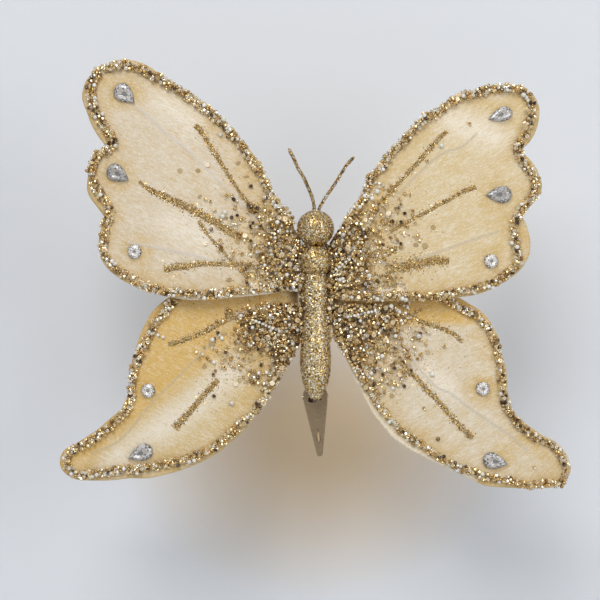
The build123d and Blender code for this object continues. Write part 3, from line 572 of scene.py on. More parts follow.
def ball_form(sides, bands):
    """A round bead with closed poles."""
    rows = [(sin(pi * band / bands), -cos(pi * band / bands)) for band in range(1, bands)]
    verts, faces = turned(rows, sides, closed=False)
    low, high = len(verts), len(verts) + 1
    verts = np.concatenate([verts, [(0, 0, -1), (0, 0, 1)]])
    count = len(rows)
    for side in range(sides):
        here, there = side * count, (side + 1) % sides * count
        faces.append((low, there, here))
        faces.append((high, here + count - 1, there + count - 1))
    return verts, faces


# Small forms of radius one: a profile of radius and height, and the number of sides
SEED = turned([(0.4, -0.56), (0.74, -0.74), (1.0, -0.42), (1.0, 0.42), (0.74, 0.74), (0.4, 0.56)], 9)
SEQUIN = turned([(1.0, 0.0), (0.72, 0.13), (0.2, 0.11), (0.2, 0.05), (0.72, 0.06), (1.0, -0.05)], 6)
DISC = turned([(0.85, 0.0), (0.8, 0.07), (0.02, 0.07), (0.02, 0.0)], 16)
PEARL = ball_form(sides=10, bands=7)
CLUMP = ball_form(sides=14, bands=10)

# A flake is a six-sided plate with a shallow point behind it
FLAKE_SIDES = 6
FLAKE_POINT = (0, 0, -0.35)
FLAKE = (
    np.array([(cos(2 * pi * n / FLAKE_SIDES), sin(2 * pi * n / FLAKE_SIDES), 0.0)
              for n in range(FLAKE_SIDES)] + [FLAKE_POINT]),
    [tuple(range(FLAKE_SIDES))] + [((n + 1) % FLAKE_SIDES, n, FLAKE_SIDES) for n in range(FLAKE_SIDES)],
)


def spins(axis, angle):
    """Turning matrices about unit axes."""
    x, y, z = axis.T
    c, s = np.cos(angle), np.sin(angle)
    t = 1 - c
    return np.stack([
        np.stack([t * x * x + c, t * x * y - s * z, t * x * z + s * y], 1),
        np.stack([t * x * y + s * z, t * y * y + c, t * y * z - s * x], 1),
        np.stack([t * x * z - s * y, t * y * z + s * x, t * z * z + c], 1),
    ], 1)


def leaning(rng, out, tilts):
    """Matrices that aim a form's Z along the outward directions, leaning by the tilts any way."""
    count = len(out)
    is_level = np.abs(out[:, 2:3]) < 0.9
    helper = np.where(is_level, [[0.0, 0.0, 1.0]], [[1.0, 0.0, 0.0]])
    side = np.cross(helper, out)
    side /= np.linalg.norm(side, axis=1, keepdims=True)
    base = np.stack([side, np.cross(out, side), out], 2)
    way = rng.uniform(0, 2 * pi, count)
    lean_axis = np.stack([np.cos(way), np.sin(way), np.zeros(count)], 1)
    upright = np.tile([[0.0, 0.0, 1.0]], (count, 1))
    return base @ spins(lean_axis, tilts) @ spins(upright, rng.uniform(0, 2 * pi, count))


NOISE_SHIFT = (17.3, 5.1, 9.7)  # how far one seed's noise lies from the next one's


def wobble(points, scale, seed):
    """Soft noise from -1 to 1 at points in millimetres, its waves as long as the scale."""
    shift = Vector([seed * part for part in NOISE_SHIFT])
    return np.array([noise.noise(Vector(point) / scale + shift) for point in points])


# Finishes

def tint(red, green, blue):
    """A colour given by its 0-255 sRGB values, made linear."""
    parts = [value / 255 for value in (red, green, blue)]
    return (*[p / 12.92 if p <= 0.04045 else ((p + 0.055) / 1.055) ** 2.4 for p in parts], 1.0)


def darker(colour, share):
    """A 0-255 colour at a share of its values."""
    return [int(part * share) for part in colour]


class Finish:
    """A node material, built a node at a time."""

    def __init__(self, name):
        self.material = bpy.data.materials.new(name)
        self.material.use_nodes = True
        self.tree = self.material.node_tree
        self.shader = self.tree.nodes["Principled BSDF"]

    def put(self, socket, value):
        """Links another node's socket, or sets the value."""
        if isinstance(value, bpy.types.NodeSocket):
            self.tree.links.new(value, socket)
        else:
            socket.default_value = value

    def node(self, kind, inputs=None, **settings):
        """A new node with its inputs and settings."""
        made = self.tree.nodes.new("ShaderNode" + kind)
        for key, value in settings.items():
            setattr(made, key, value)
        for key, value in (inputs or {}).items():
            self.put(made.inputs[key], value)
        return made

    def set(self, **values):
        """Inputs of the main shader, with _ for each space in their names."""
        for key, value in values.items():
            self.put(self.shader.inputs[key.replace("_", " ")], value)

    def space(self, scale=(PER_METRE, PER_METRE, PER_METRE), turn=(0.0, 0.0, 0.0)):
        """Places on the piece, in millimetres unless scaled otherwise."""
        place = self.node("TexCoord").outputs["Object"]
        return self.node("Mapping", {"Vector": place, "Scale": scale, "Rotation": turn}).outputs[0]

    def stretched(self, space, scale):
        """The same places, each axis scaled."""
        return self.node("Mapping", {"Vector": space, "Scale": scale}).outputs[0]

    def ramp(self, factor, stops):
        """A colour ramp with stops of place and 0-255 colour."""
        made = self.node("ValToRGB", {"Fac": factor})
        ramp = made.color_ramp
        while len(ramp.elements) < len(stops):
            ramp.elements.new(0.5)
        for element, (place, colour) in zip(ramp.elements, stops):
            element.position = place
            element.color = tint(*colour)
        return made.outputs["Color"]

    def grey_ramp(self, factor, low, high, start=0.0, end=1.0):
        """A value that goes from low to high between two places of the factor."""
        return self.node("MapRange", {"Value": factor, "From Min": start, "From Max": end,
                                      "To Min": low, "To Max": high}).outputs[0]

    def noise(self, space, scale, detail=3.0, roughness=0.55, distortion=0.0):
        """Cloudy noise around one half."""
        return self.node("TexNoise", {"Vector": space, "Scale": scale, "Detail": detail,
                                      "Roughness": roughness, "Distortion": distortion}).outputs["Fac"]

    def mix(self, factor, a, b):
        """The first colour, with the second one over it by the factor."""
        made = self.tree.nodes.new("ShaderNodeMix")
        made.data_type = "RGBA"
        factor_input, a_input, b_input = (made.inputs[number] for number in (0, 6, 7))
        self.put(factor_input, factor)
        self.put(a_input, a)
        self.put(b_input, b)
        return made.outputs[2]

    def sums(self, operation, a, b):
        """Arithmetic on two values."""
        return self.node("Math", {0: a, 1: b}, operation=operation).outputs[0]

    def vectors(self, operation, *parts, **inputs):
        """Arithmetic on vectors."""
        return self.node("VectorMath", {**dict(enumerate(parts)), **inputs}, operation=operation).outputs[0]

    def bump(self, height, strength, distance, normal=None):
        """Fine relief under the height, in metres."""
        inputs = {"Height": height, "Strength": strength, "Distance": distance}
        if normal is not None:
            inputs["Normal"] = normal
        self.tree.links.new(self.node("Bump", inputs).outputs[0], self.shader.inputs["Normal"])

    def value(self, name):
        """A value kept on the mesh."""
        return self.node("Attribute", attribute_name=name).outputs["Fac"]

    def island(self):
        """A random value for each separate bead or flake."""
        return self.node("NewGeometry").outputs["Random Per Island"]


# Tones in the satin beside the set ones, 0-255
CLOUD_TONE = (232, 224, 208)
PALE_TONE = (238, 231, 216)
FIBRE_TONE = (240, 232, 216)
SPECK_TONE = (244, 238, 226)
ROOT_DUST = (104, 76, 34)
SHEEN_TINT = (255, 244, 220)


def satin(name, cream, gold, deep, grain, wire_tone):
    """Satin cloth: cream in the middle, gold towards the margin, the stones and the body."""
    f = Finish(name)
    space = f.space()
    slant = f.space(turn=(0.0, radians(grain), 0.0))
    fibres = f.noise(f.stretched(slant, (2.8, 1.0, 0.5)), 0.62, 5.0, 0.66, 0.2)
    cloudy = f.noise(f.stretched(slant, (1.0, 1.0, 0.5)), 0.16, 5.0, 0.6)
    patches = f.noise(space, 0.055, 4.0, 0.6, 0.5)
    specks = f.noise(space, 1.3, 3.0, 0.7)
    threads = f.noise(space, 4.5, 2.0)
    twill = f.node("TexWave", {"Vector": slant, "Scale": 0.42, "Distortion": 0.9, "Detail": 2.0,
                               "Detail Scale": 3.0}, wave_type="BANDS", bands_direction="X").outputs["Fac"]
    dusty = f.grey_ramp(f.noise(space, 2.4, 2.0), 0.65, 1.0, 0.3, 0.6)
    dust = f.sums("MULTIPLY", f.value("root"), dusty)
    margin = f.grey_ramp(f.value("margin"), 1.0, 0.0, 0.6, 15.0)
    reach = f.sums("ADD", margin, f.grey_ramp(patches, -0.35, 0.35, 0.3, 0.7))
    colour = f.mix(f.grey_ramp(reach, 0.0, 1.0, 0.1, 1.05), tint(*cream), gold)

    # Each tone goes over the ones before it: its factor, that factor's strength at a low and at a high
    # value, and these two values
    for factor, low, high, start, end, tone in (
        (cloudy, 0.0, 0.4, 0.48, 0.74, gold),
        (cloudy, 0.4, 0.0, 0.3, 0.48, tint(*CLOUD_TONE)),
        (f.value("pale"), 0.0, 0.75, 0.1, 0.9, tint(*PALE_TONE)),
        # painted shade: deep gold where a forewing shades the hindwing below it
        (f.value("deep"), 0.0, 1.0, 0.0, 1.0, deep),
        (fibres, 0.0, 0.44, 0.5, 0.66, tint(*FIBRE_TONE)),
        (fibres, 0.46, 0.0, 0.34, 0.5, gold),
        (specks, 0.3, 0.0, 0.34, 0.48, deep),
        (specks, 0.0, 0.35, 0.52, 0.68, tint(*SPECK_TONE)),
        (f.value("wire"), 0.0, 0.85, 0.15, 0.95, tint(*wire_tone)),
        (dust, 0.0, 1.0, 0.0, 1.0, tint(*ROOT_DUST)),
        (twill, 0.1, 0.0, 0.0, 1.0, deep),
    ):
        colour = f.mix(f.grey_ramp(factor, low, high, start, end), colour, tone)
    weave = f.sums("ADD", f.sums("MULTIPLY", twill, 0.5), f.sums("MULTIPLY", threads, 0.5))
    height = f.sums("ADD", weave, f.sums("MULTIPLY", fibres, 1.6))
    f.set(Base_Color=colour, Roughness=f.grey_ramp(fibres, 0.38, 0.56, 0.35, 0.65), Sheen_Weight=0.3,
          Sheen_Roughness=0.35, Sheen_Tint=tint(*SHEEN_TINT), Specular_IOR_Level=0.4, Anisotropic=0.35)
    f.bump(height, 0.4, 0.00014)
    return f.material


def glitter(name, shades, base, size, roughness, spread):
    """Packed flakes: every cell has its own shade and its own tilt."""
    f = Finish(name)
    cells = f.node("TexVoronoi", {"Vector": f.space(), "Scale": 1.0 / size, "Randomness": 1.0})
    parts = f.node("SeparateColor", {"Color": cells.outputs["Color"]})
    gap = f.grey_ramp(cells.outputs["Distance"], 0.0, 0.75, 0.35, 0.8)
    colour = f.mix(gap, f.ramp(parts.outputs[0], shades), tint(*base))
    lean = f.vectors("SUBTRACT", cells.outputs["Color"], (0.5, 0.5, 0.5))
    lean = f.vectors("SCALE", lean, Scale=spread)
    tilt = f.vectors("ADD", f.node("NewGeometry").outputs["Normal"], lean)
    f.set(Base_Color=colour, Metallic=0.62, Roughness=roughness, Normal=f.vectors("NORMALIZE", tilt))
    return f.material


def foil(name, colour, roughness, metallic=0.9):
    """Thin flakes and sequins, no two quite alike."""
    f = Finish(name)
    shade = f.mix(f.island(), tint(*darker(colour, 0.72)), tint(*colour))
    f.set(Base_Color=shade, Metallic=metallic,
          Roughness=f.grey_ramp(f.noise(f.space(), 3.0), roughness, roughness + 0.15))
    return f.material


def bead_glass(name, dark, light, metallic, clear, roughness=0.12):
    """Seed-bead glass from one shade to another, lined or clear."""
    f = Finish(name)
    shade = f.mix(f.island(), tint(*dark), tint(*light))
    cloud = f.noise(f.space(), 1.6)
    shade = f.mix(f.grey_ramp(cloud, 0.0, 0.3, 0.4, 0.7), shade, tint(*light))
    f.set(Base_Color=shade, Metallic=metallic, Roughness=roughness, Transmission_Weight=clear,
          Coat_Weight=1.0, Coat_Roughness=0.03, IOR=1.5)
    return f.material


def disc_clear():
    """Thin amber film discs, half seen through."""
    f = Finish("disc_clear")
    shade = f.mix(f.island(), tint(206, 176, 120), tint(226, 204, 160))
    f.set(Base_Color=shade, Roughness=f.grey_ramp(f.noise(f.space(), 1.0), 0.12, 0.25),
          Transmission_Weight=0.35, IOR=1.45, Coat_Weight=0.4)
    return f.material


def pearl_finish():
    """White pearl beads, from warm to clean white."""
    f = Finish("pearl_white")
    shade = f.mix(f.island(), tint(216, 206, 190), tint(244, 240, 232))
    f.set(Base_Color=shade, Roughness=f.grey_ramp(f.noise(f.space(), 1.2), 0.16, 0.3),
          Subsurface_Weight=0.1, Coat_Weight=0.5, Coat_Roughness=0.08, Sheen_Weight=0.2)
    return f.material


def metal(name, colour, roughness, streak=True):
    """Plated steel with fine drawn lines and a few dull patches."""
    f = Finish(name)
    space = f.space()
    lines = f.noise(f.stretched(space, (6.0, 6.0, 0.5)) if streak else space, 1.4, 4.0)
    patches = f.noise(space, 0.35, 4.0, 0.65)
    shade = f.mix(f.grey_ramp(patches, 0.0, 0.5, 0.42, 0.72), tint(*colour), tint(*darker(colour, 0.66)))
    rough = f.sums("ADD", f.grey_ramp(lines, roughness - 0.08, roughness + 0.1),
                   f.grey_ramp(patches, 0.0, 0.14, 0.4, 0.7))
    f.set(Base_Color=shade, Metallic=0.92, Roughness=rough)
    edge = f.node("Bevel", {"Radius": 0.00018})
    f.bump(lines, 0.12, 0.00008, edge.outputs[0])
    return f.material


def glue_finish():
    """Set hot-melt glue: milky amber, glossy, with soft lumps."""
    f = Finish("hot_glue")
    space = f.space()
    cloud = f.noise(space, 0.35, 3.0)
    shade = f.mix(f.grey_ramp(cloud, 0.0, 1.0, 0.35, 0.65), tint(214, 200, 170), tint(186, 166, 126))
    f.set(Base_Color=shade, Roughness=0.24, Transmission_Weight=0.12, Subsurface_Weight=0.25,
          Subsurface_Scale=0.002, Coat_Weight=0.3, IOR=1.48)
    f.bump(f.noise(space, 0.9), 0.3, 0.0004)
    return f.material


def stone_glass():
    """The clear crown of a stone, glossy and lightest where it faces away."""
    f = Finish("stone_glass")
    edge = f.node("LayerWeight", {"Blend": 0.25}).outputs["Fresnel"]
    f.set(Base_Color=(1.0, 1.0, 1.0, 1.0), Roughness=f.grey_ramp(f.noise(f.space(), 0.6), 0.0, 0.03),
          Alpha=f.grey_ramp(edge, 0.1, 0.8, 0.05, 0.7), IOR=1.5)
    return f.material


# Settings that a user would change

def shown(red, green, blue):
    """The default of a colour setting, from its 0-255 values."""
    return (red / 255, green / 255, blue / 255)


class BeadSettings(bpy.types.PropertyGroup):
    """Sizes of the beads and flakes."""

    seed_radius: bpy.props.FloatProperty(
        name="Seed bead radius", description="Radius of a seed bead", default=0.9 * MM,
        unit="LENGTH", precision=5)
    sequin_radius: bpy.props.FloatProperty(
        name="Sequin radius", description="Radius of a sequin", default=1.5 * MM,
        unit="LENGTH", precision=5)
    pearl_radius: bpy.props.FloatProperty(
        name="Pearl radius", description="Radius of a pearl", default=1.12 * MM,
        unit="LENGTH", precision=5)
    rope_width: bpy.props.FloatProperty(
        name="Rope width", description="Width of the bead rope along a wing", default=4.1 * MM,
        unit="LENGTH", precision=5)
    flake_radius: bpy.props.FloatProperty(
        name="Flake radius", description="Radius of a glitter flake", default=0.24 * MM,
        unit="LENGTH", precision=5)
    seed: bpy.props.IntProperty(
        name="Seed", description="Start of the random draws", default=11, min=0)


class ClothSettings(bpy.types.PropertyGroup):
    """Colours and mesh of the satin."""

    gold: bpy.props.FloatVectorProperty(
        name="Gold", description="Satin near the margin", default=shown(202, 171, 108),
        subtype="COLOR_GAMMA", min=0.0, max=1.0)
    # Deep gold: painted shade under a forewing, also the tone of specks and twill lines in the satin
    deep: bpy.props.FloatVectorProperty(
        name="Deep gold", description="Satin under the forewing", default=shown(214, 171, 80),
        subtype="COLOR_GAMMA", min=0.0, max=1.0)
    spacing: bpy.props.FloatProperty(
        name="Mesh spacing", description="Distance between points of the front cloth", default=1.1 * MM,
        unit="LENGTH", precision=5)


class StageSettings(bpy.types.PropertyGroup):
    """Backdrop and light."""

    backdrop_behind: bpy.props.FloatProperty(
        name="Backdrop behind", description="Distance of the backdrop behind the clip's grip",
        default=96 * MM, unit="LENGTH", precision=4)
    floor_height: bpy.props.FloatProperty(
        name="Floor height", description="Height of the floor", default=-190 * MM, unit="LENGTH", precision=4)
    key_power: bpy.props.FloatProperty(
        name="Key light", description="Power of the large soft light", default=8.8, unit="POWER")


# Beads and flakes

BEADS = ["bead_gold", "bead_amber", "bead_clear", "bead_dark", "pearl_white", "sequin_peach", "disc_clear"]
FLAKES = ["flake_gold", "flake_pale", "flake_brown"]
FLAT_KINDS = {"sequin_peach", "disc_clear"}
CUT_KINDS = FLAT_KINDS | {"bead_gold", "bead_clear", "bead_dark"}
FORMS = {"sequin_peach": SEQUIN, "disc_clear": DISC, "pearl_white": PEARL}
TRIMS = BEADS + FLAKES + ["glitter_glue"]
GLUE = len(TRIMS) - 1
PEARL_KIND = BEADS.index("pearl_white")

# Shares of the kinds of bead
ROPE_MIX = [0.42, 0.16, 0.26, 0.06, 0.05, 0.04, 0.01]
ROOT_MIX = [0.4, 0.24, 0.18, 0.1, 0.03, 0.03, 0.02]
# The collar's mix is rich in dark and amber beads: partly the dark beads there, partly painted shade in the
# gap beside the body
COLLAR_DARK_AND_SHADE_MIX = [0.32, 0.32, 0.08, 0.24, 0.03, 0.0, 0.01]

# Shares of the gold, pale and brown flakes
EDGE_FLAKES = (0.5, 0.2, 0.3)
VEIN_FLAKES = (0.56, 0.2, 0.24)
PATCH_FLAKES = (0.55, 0.15, 0.3)
DUST_FLAKES = (0.75, 0.1, 0.15)
# Paler mixes for flakes that face the front and a browner one for the sides: painted highlight down the
# body's front, painted shade at its sides
ABDOMEN_HIGHLIGHT_FLAKES = (0.3, 0.62, 0.08)
CHEST_HIGHLIGHT_FLAKES = (0.42, 0.38, 0.2)
SIDE_SHADE_FLAKES = (0.5, 0.22, 0.28)
ANTENNA_FLAKES = (0.34, 0.26, 0.4)
CLUMP_FLAKES = (0.15, 0.8, 0.05)

# What is added to the user's seed for each group of pieces
VEIN_SEED = 40
ROOT_SEED = 80
COLLAR_SEED = 150
BODY_SEED = 200
ANTENNA_SEED = 300

FLAT_HALF = 0.22  # half the height that a sequin or disc takes in a pile
CELL = 3.0  # side of the cells in which a pile looks for neighbours
WAIST_TOP = 78.0  # below it the abdomen's radius beside the wings counts
WAIST_RADIUS = 33.0**0.5
BODY_CLEARANCE = 0.35
RIDGE_CORNERS = 9  # of a ridge's half-round section


def shared_finishes():
    """The materials of the trims, made once."""
    if "bead_gold" in bpy.data.materials:
        return
    bead_glass("bead_gold", (206, 164, 90), (255, 234, 182), 0.75, 0.0)
    bead_glass("bead_amber", (130, 92, 36), (220, 178, 104), 0.5, 0.1)
    bead_glass("bead_clear", (236, 216, 178), (255, 251, 236), 0.5, 0.1, 0.08)
    bead_glass("bead_dark", (48, 30, 10), (104, 74, 32), 0.3, 0.0)
    pearl_finish()
    foil("sequin_peach", (248, 222, 180), 0.24, 0.5)
    disc_clear()
    foil("flake_gold", (244, 204, 120), 0.2, 0.62)
    foil("flake_pale", (255, 249, 226), 0.16, 0.28)
    foil("flake_brown", (150, 104, 38), 0.26)
    shades = [(0.0, (62, 42, 14)), (0.45, (132, 98, 44)), (0.75, (190, 152, 84)), (1.0, (240, 220, 180))]
    glitter("glitter_glue", shades, (52, 36, 12), 0.42, 0.28, 0.9)
    stone_glass()
    # Painted reflections for the stones' foil facets: bright, grey, dark and tan
    foil("stone_bright", (250, 251, 254), 0.1, 0.12)
    foil("stone_grey", (150, 149, 152), 0.1, 0.35)
    foil("stone_dark", (76, 74, 76), 0.12, 0.5)
    foil("stone_tan", (228, 216, 196), 0.1, 0.1)


def finishes_of(names):
    """The materials of these names."""
    return [bpy.data.materials[name] for name in names]


def body_radius(height):
    """Radius of the head, thorax or abdomen at a height."""
    head = max(HEAD_RADIUS**2 - (height - HEAD_HEIGHT) ** 2, 0.0) ** 0.5
    thorax = max(THORAX_RADIUS**2 - (height - THORAX_HEIGHT) ** 2, 0.0) ** 0.5
    waist = WAIST_RADIUS if height < WAIST_TOP else 0.0
    return max(head, thorax, waist)


def clears_body(place, radius, bends):
    """Whether a bead of a forewing stays off the body when the wing is turned all the way forward."""
    across, depth = abs(place[0] - BODY_X), place[1]
    turn = radians(FOREWING_TRAVEL)
    from_hinge = (across - HINGE_ACROSS, depth - HINGE_Y)
    swung = (HINGE_ACROSS + from_hinge[0] * cos(turn) + from_hinge[1] * sin(turn),
             HINGE_Y - from_hinge[0] * sin(turn) + from_hinge[1] * cos(turn))
    start, end = BEAD_BEND
    share = min(max((across - start) / (end - start), 0.0), 1.0) if bends else 1.0
    across += (swung[0] - across) * share
    depth += (swung[1] - depth) * share
    away = (across**2 + (depth - BODY_Y) ** 2) ** 0.5
    return away > body_radius(place[2]) + BODY_CLEARANCE + 0.6 * radius


class Pile:
    """Beads dropped one by one on a wing, each resting on what lies under it."""

    def __init__(self, ground, rng, beads, top, bends):
        self.ground, self.rng, self.beads, self.top, self.bends = ground, rng, beads, top, bends
        self.kept = []
        self.cells = {}

    def sizes(self, kind):
        """Radius seen from the front, and half the height, in millimetres."""
        if BEADS[kind] in FLAT_KINDS:
            return self.beads.sequin_radius / MM, FLAT_HALF
        radius = (self.beads.pearl_radius if kind == PEARL_KIND else self.beads.seed_radius) / MM
        return radius, radius * 0.86

    def drop(self, x, z, kind, floor, scale=1.0):
        """Drops a bead, which is kept unless it lies too high or in the body's way."""
        wide, tall = (scale * size for size in self.sizes(kind))
        lift = floor + tall * 0.8
        column, row = int(x // CELL), int(z // CELL)
        for cell in product((column - 1, column, column + 1), (row - 1, row, row + 1)):
            for ox, oz, olift, owide, otall in self.cells.get(cell, ()):
                apart = ((x - ox) ** 2 + (z - oz) ** 2) ** 0.5
                reach = 0.86 * (wide + owide)
                if apart < reach:
                    lift = max(lift, olift + 0.9 * (tall + otall) * (1 - (apart / reach) ** 2) ** 0.5)
        if lift > self.top:
            return
        if self.ground.fore:
            place = self.ground.lay(np.array([[x, z]]), lift)[0]
            if not clears_body(place, wide, self.bends):
                return
        self.cells.setdefault((column, row), []).append((x, z, lift, wide, tall))
        self.kept.append((x, z, lift, kind, scale))

    def write(self, heap):
        """Adds the beads to a heap of forms."""
        table = np.array(self.kept)
        flat, lifts, scales = table[:, :2], table[:, 2], table[:, 4]
        kinds = table[:, 3].astype(int)
        _, out, _ = self.ground.frames(flat)
        places = self.ground.lay(flat, lifts)
        rng, count = self.rng, len(table)
        draw = rng.random(count)
        tilts = np.where(draw < 0.3, rng.normal(0, 0.35, count), rng.uniform(0.9, pi / 2, count))
        flat_tilts = np.where(draw < 0.8, rng.normal(0, 0.3, count), rng.uniform(0.6, 1.2, count))
        for kind, name in enumerate(BEADS):
            chosen = kinds == kind
            if not chosen.any():
                continue
            turns = leaning(rng, out[chosen], (flat_tilts if name in FLAT_KINDS else tilts)[chosen])
            radius = self.sizes(kind)[0] * scales[chosen] * rng.uniform(0.88, 1.1, chosen.sum())
            heap.copies(FORMS.get(name, SEED), places[chosen], turns, radius, kind, name in CUT_KINDS)


def scatter_flakes(heap, rng, places, out, radius, shares, first=1, lean=0.6):
    """Glitter flakes at places, facing roughly outwards."""
    kinds = rng.choice(len(FLAKES), len(places), p=shares)
    turns = leaning(rng, out, rng.normal(0, lean, len(places)))
    sizes = radius * rng.uniform(0.7, 1.35, len(places))
    for kind in range(len(FLAKES)):
        chosen = kinds == kind
        heap.copies(FLAKE, places[chosen], turns[chosen], sizes[chosen], first + kind, is_flat=True)


def flakes_on(heap, rng, wing, flat, lift, radius, shares, first=1, lean=0.6):
    """Glitter flakes at flat spots of a wing, raised by the lift."""
    _, out, _ = wing.frames(flat)
    scatter_flakes(heap, rng, wing.lay(flat, lift), out, radius, shares, first, lean)


def level(flat):
    """Flat spots as points in space."""
    return np.column_stack([flat, np.zeros(len(flat))])


def dome(off, half):
    """Height of a half-round of height one at distances from its middle."""
    return np.clip(1 - (off / half) ** 2, 0, 1) ** 0.5


def ridge(heap, ground, line, widths, height, seed, finish=0):
    """A bead of glue along a line on the wing: a lumpy half-round with closed ends."""
    count = len(line)
    side = line_sides(line)
    lumps = 1 + 0.22 * wobble(level(line), 2.2, seed)
    ends = np.sin(np.linspace(0, pi, count)) ** 0.25
    half = widths / 2 * lumps * np.maximum(ends, 0.25)
    arcs = []
    for turn in np.linspace(0, pi, RIDGE_CORNERS):
        flat = line + side * (half * cos(turn))[:, None]
        arcs.append(ground.lay(flat, CLOTH_FACE - 0.1 + height * lumps * ends * sin(turn)))
    heap.add(np.stack(arcs, 1), tube_faces(count, RIDGE_CORNERS), finish)


def tapered(widths, count):
    """Widths along a line from those at its start, middle and end."""
    return np.interp(np.linspace(0, 1, count), (0, 0.5, 1), widths)


def dress(piece, body, slot, *nodes):
    """Binds a piece to its body and hides the nodes it stands for."""
    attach(piece, body)
    if nodes:
        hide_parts(*nodes)


def bend_at_root(piece, node):
    """Bakes a wing's piece into place and hides the node it stands for."""
    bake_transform(piece)
    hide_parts(node)


# Cloth

OUTLINE_STEP = 1.2
BACK_SPACING = 2.4  # between points of a back cloth
BACK_INSET = 0.6  # from a wing's stiff root to the edge of its back cloth, towards the body
GRAIN = 65  # degrees that the satin's fibres slant


def cloth_points(outline, spacing):
    """Flat points and triangles that fill an outline."""
    border = steps_along(np.concatenate([outline, outline[:1]]), spacing * 0.8)[:-1]
    low, high = border.min(0), border.max(0)
    rows = []
    for number, z in enumerate(np.arange(low[1], high[1], spacing * 0.87)):
        x = np.arange(low[0], high[0], spacing) + (spacing / 2 if number % 2 else 0)
        rows.append(np.stack([x, np.full(len(x), z)], 1))
    grid = np.concatenate(rows)
    grid = grid[inside(grid, border)]
    grid = grid[distance_to(grid, border, closed=True) > spacing * 0.6]
    points = [Vector(point) for point in np.concatenate([border, grid])]
    loop = list(range(len(border)))
    edges = list(zip(loop, loop[1:] + loop[:1]))
    found = geometry.delaunay_2d_cdt(points, edges, [loop], 1, 1e-6)
    return np.array([tuple(point) for point in found[0]]), [tuple(face) for face in found[2]]


def sheet_faces(faces, count, front):
    """Faces of a closed sheet: its outer side, its inner side and the wall at its rim."""
    edges = dict.fromkeys((a, b) for face in faces for a, b in zip(face, face[1:] + face[:1]))
    rim = [(a, b) for a, b in edges if (b, a) not in edges]
    turn = 1 if front else -1
    outer = [face[::turn] for face in faces]
    inner = [tuple(corner + count for corner in face[::-turn]) for face in faces]
    walls = [((b, a, a + count, b + count) if front else (a, b, b + count, a + count)) for a, b in rim]
    return outer + inner + walls


def flat_area(flat, faces):
    """Area of flat triangles."""
    first, second, third = flat[np.array(faces)].transpose(1, 0, 2)
    along, up = second - first, third - first
    return float(np.abs(along[:, 0] * up[:, 1] - up[:, 0] * along[:, 1]).sum() / 2)


def golden_reach(wing, flat, margin):
    """How far the cloth lies from what it turns golden at: its margin, the stones and the body."""
    reach = margin.copy()
    for spot in [*(pear[0] for pear in wing.pears), wing.round_stone]:
        away = np.linalg.norm(flat - spots([spot])[0], axis=1)
        reach = np.minimum(reach, np.maximum(away - 3.0, 0) * 1.5)
    return np.minimum(reach, np.maximum(from_middle(flat) - 18.0, 0) * 0.5)


def forewing_shade_share(wing, flat):
    """How much of the deep gold, painted as the forewing's shade, the cloth shows above the edge of it."""
    if wing.fore:
        return np.zeros(len(flat))
    line, soft, strength = wing.deep
    start, end = spots(line)
    upward = np.array([-(end - start)[1], (end - start)[0]])
    upward = upward / np.linalg.norm(upward) * np.sign(upward[1])
    return np.clip((flat - start) @ upward / soft + 0.5, 0, 1) * strength


def pale_share(wing, flat):
    """How pale the cloth is, from 0 to 1."""
    return np.max([np.clip(1 - distance_to(flat, spots(run)) / far, 0, 1) for run, far in wing.pale], 0)


def cloth_piece(wing, name, outline, front, finish, spacing, seed):
    """One cloth of a wing as a thin closed sheet on the wing's camber, its flat size and its area."""
    flat, faces = cloth_points(outline, spacing)
    margin = distance_to(flat, outline, closed=True)
    to_wire = np.min([distance_to(flat, smooth(spots(run), 2.0)) for run in wing.wires], 0)
    wire = np.exp(-(to_wire / 0.62) ** 2)
    curl = np.clip((2.6 - margin) / 2.6, 0, 1) ** 1.6
    curl_way = 0.35 + 0.75 * wobble(level(flat), 11.0, seed)
    waves = 0.16 * wobble(level(flat), 16.0, seed + 1) + 0.06 * wobble(level(flat), 4.5, seed + 2)
    root_rise = np.clip((ROOT_ACROSS + 0.5 - from_middle(flat)) / 3.5, 0, 1) * 0.7
    lift = CLOTH_FACE + 0.32 * wire + waves + 0.9 * curl * curl_way + root_rise
    sign = 1 if front else -1
    outer = wing.lay(flat, sign * lift)
    inner = wing.lay(flat, sign * (lift - CLOTH_THICK))
    heap = Heap()
    heap.add(np.concatenate([outer, inner]), sheet_faces(faces, len(flat), front))
    values = {
        "margin": golden_reach(wing, flat, margin),
        "wire": wire,
        # painted shade under the forewing
        "deep": forewing_shade_share(wing, flat),
        "root": np.clip((14.0 - from_middle(flat)) / 4.0, 0, 1),
        "pale": pale_share(wing, flat),
    }
    piece = heap.piece(name, [finish], {key: np.tile(value, 2) for key, value in values.items()})
    size = (flat.max(0) - flat.min(0)) * MM
    return piece, (float(size[0]), float(size[1])), flat_area(flat, faces) * MM * MM


class BUTTERFLY_OT_cloths(bpy.types.Operator):
    """Makes the two satin cloths of each wing"""

    bl_idname = "butterfly.cloths"
    bl_label = "Wing cloths"

    def execute(self, context):
        settings = context.scene.butterfly_cloth
        gold, deep = (tint(*[part * 255 for part in colour]) for colour in (settings.gold, settings.deep))
        for number, wing in enumerate(WINGS):
            finish = satin(f"{wing.name}_satin", wing.cream, gold, deep, -GRAIN * wing.side, wing.wire_tone)
            outline = outline_of(wing, OUTLINE_STEP)
            edge = ROOT_ACROSS - BACK_INSET
            held_back = np.where(from_middle(outline) < edge, BODY_X + wing.side * edge, outline[:, 0])
            back_outline = np.stack([held_back, outline[:, 1]], 1)

            name = f"{wing.name}_front_satin"
            spacing = settings.spacing / MM
            piece, size, area = cloth_piece(wing, name, outline, True, finish, spacing, number * 5)
            bend_at_root(piece, f"{wing.name}_front_cloth")

            name = f"{wing.name}_back_satin"
            piece, size, area = cloth_piece(wing, name, back_outline, False, finish, BACK_SPACING, number * 5)
            dress(piece, wing.name, "satin_cloth", f"{wing.name}_back_cloth")
        return {"FINISHED"}


# Trims of the wings

GLITTERED = ["glitter_glue"] + FLAKES


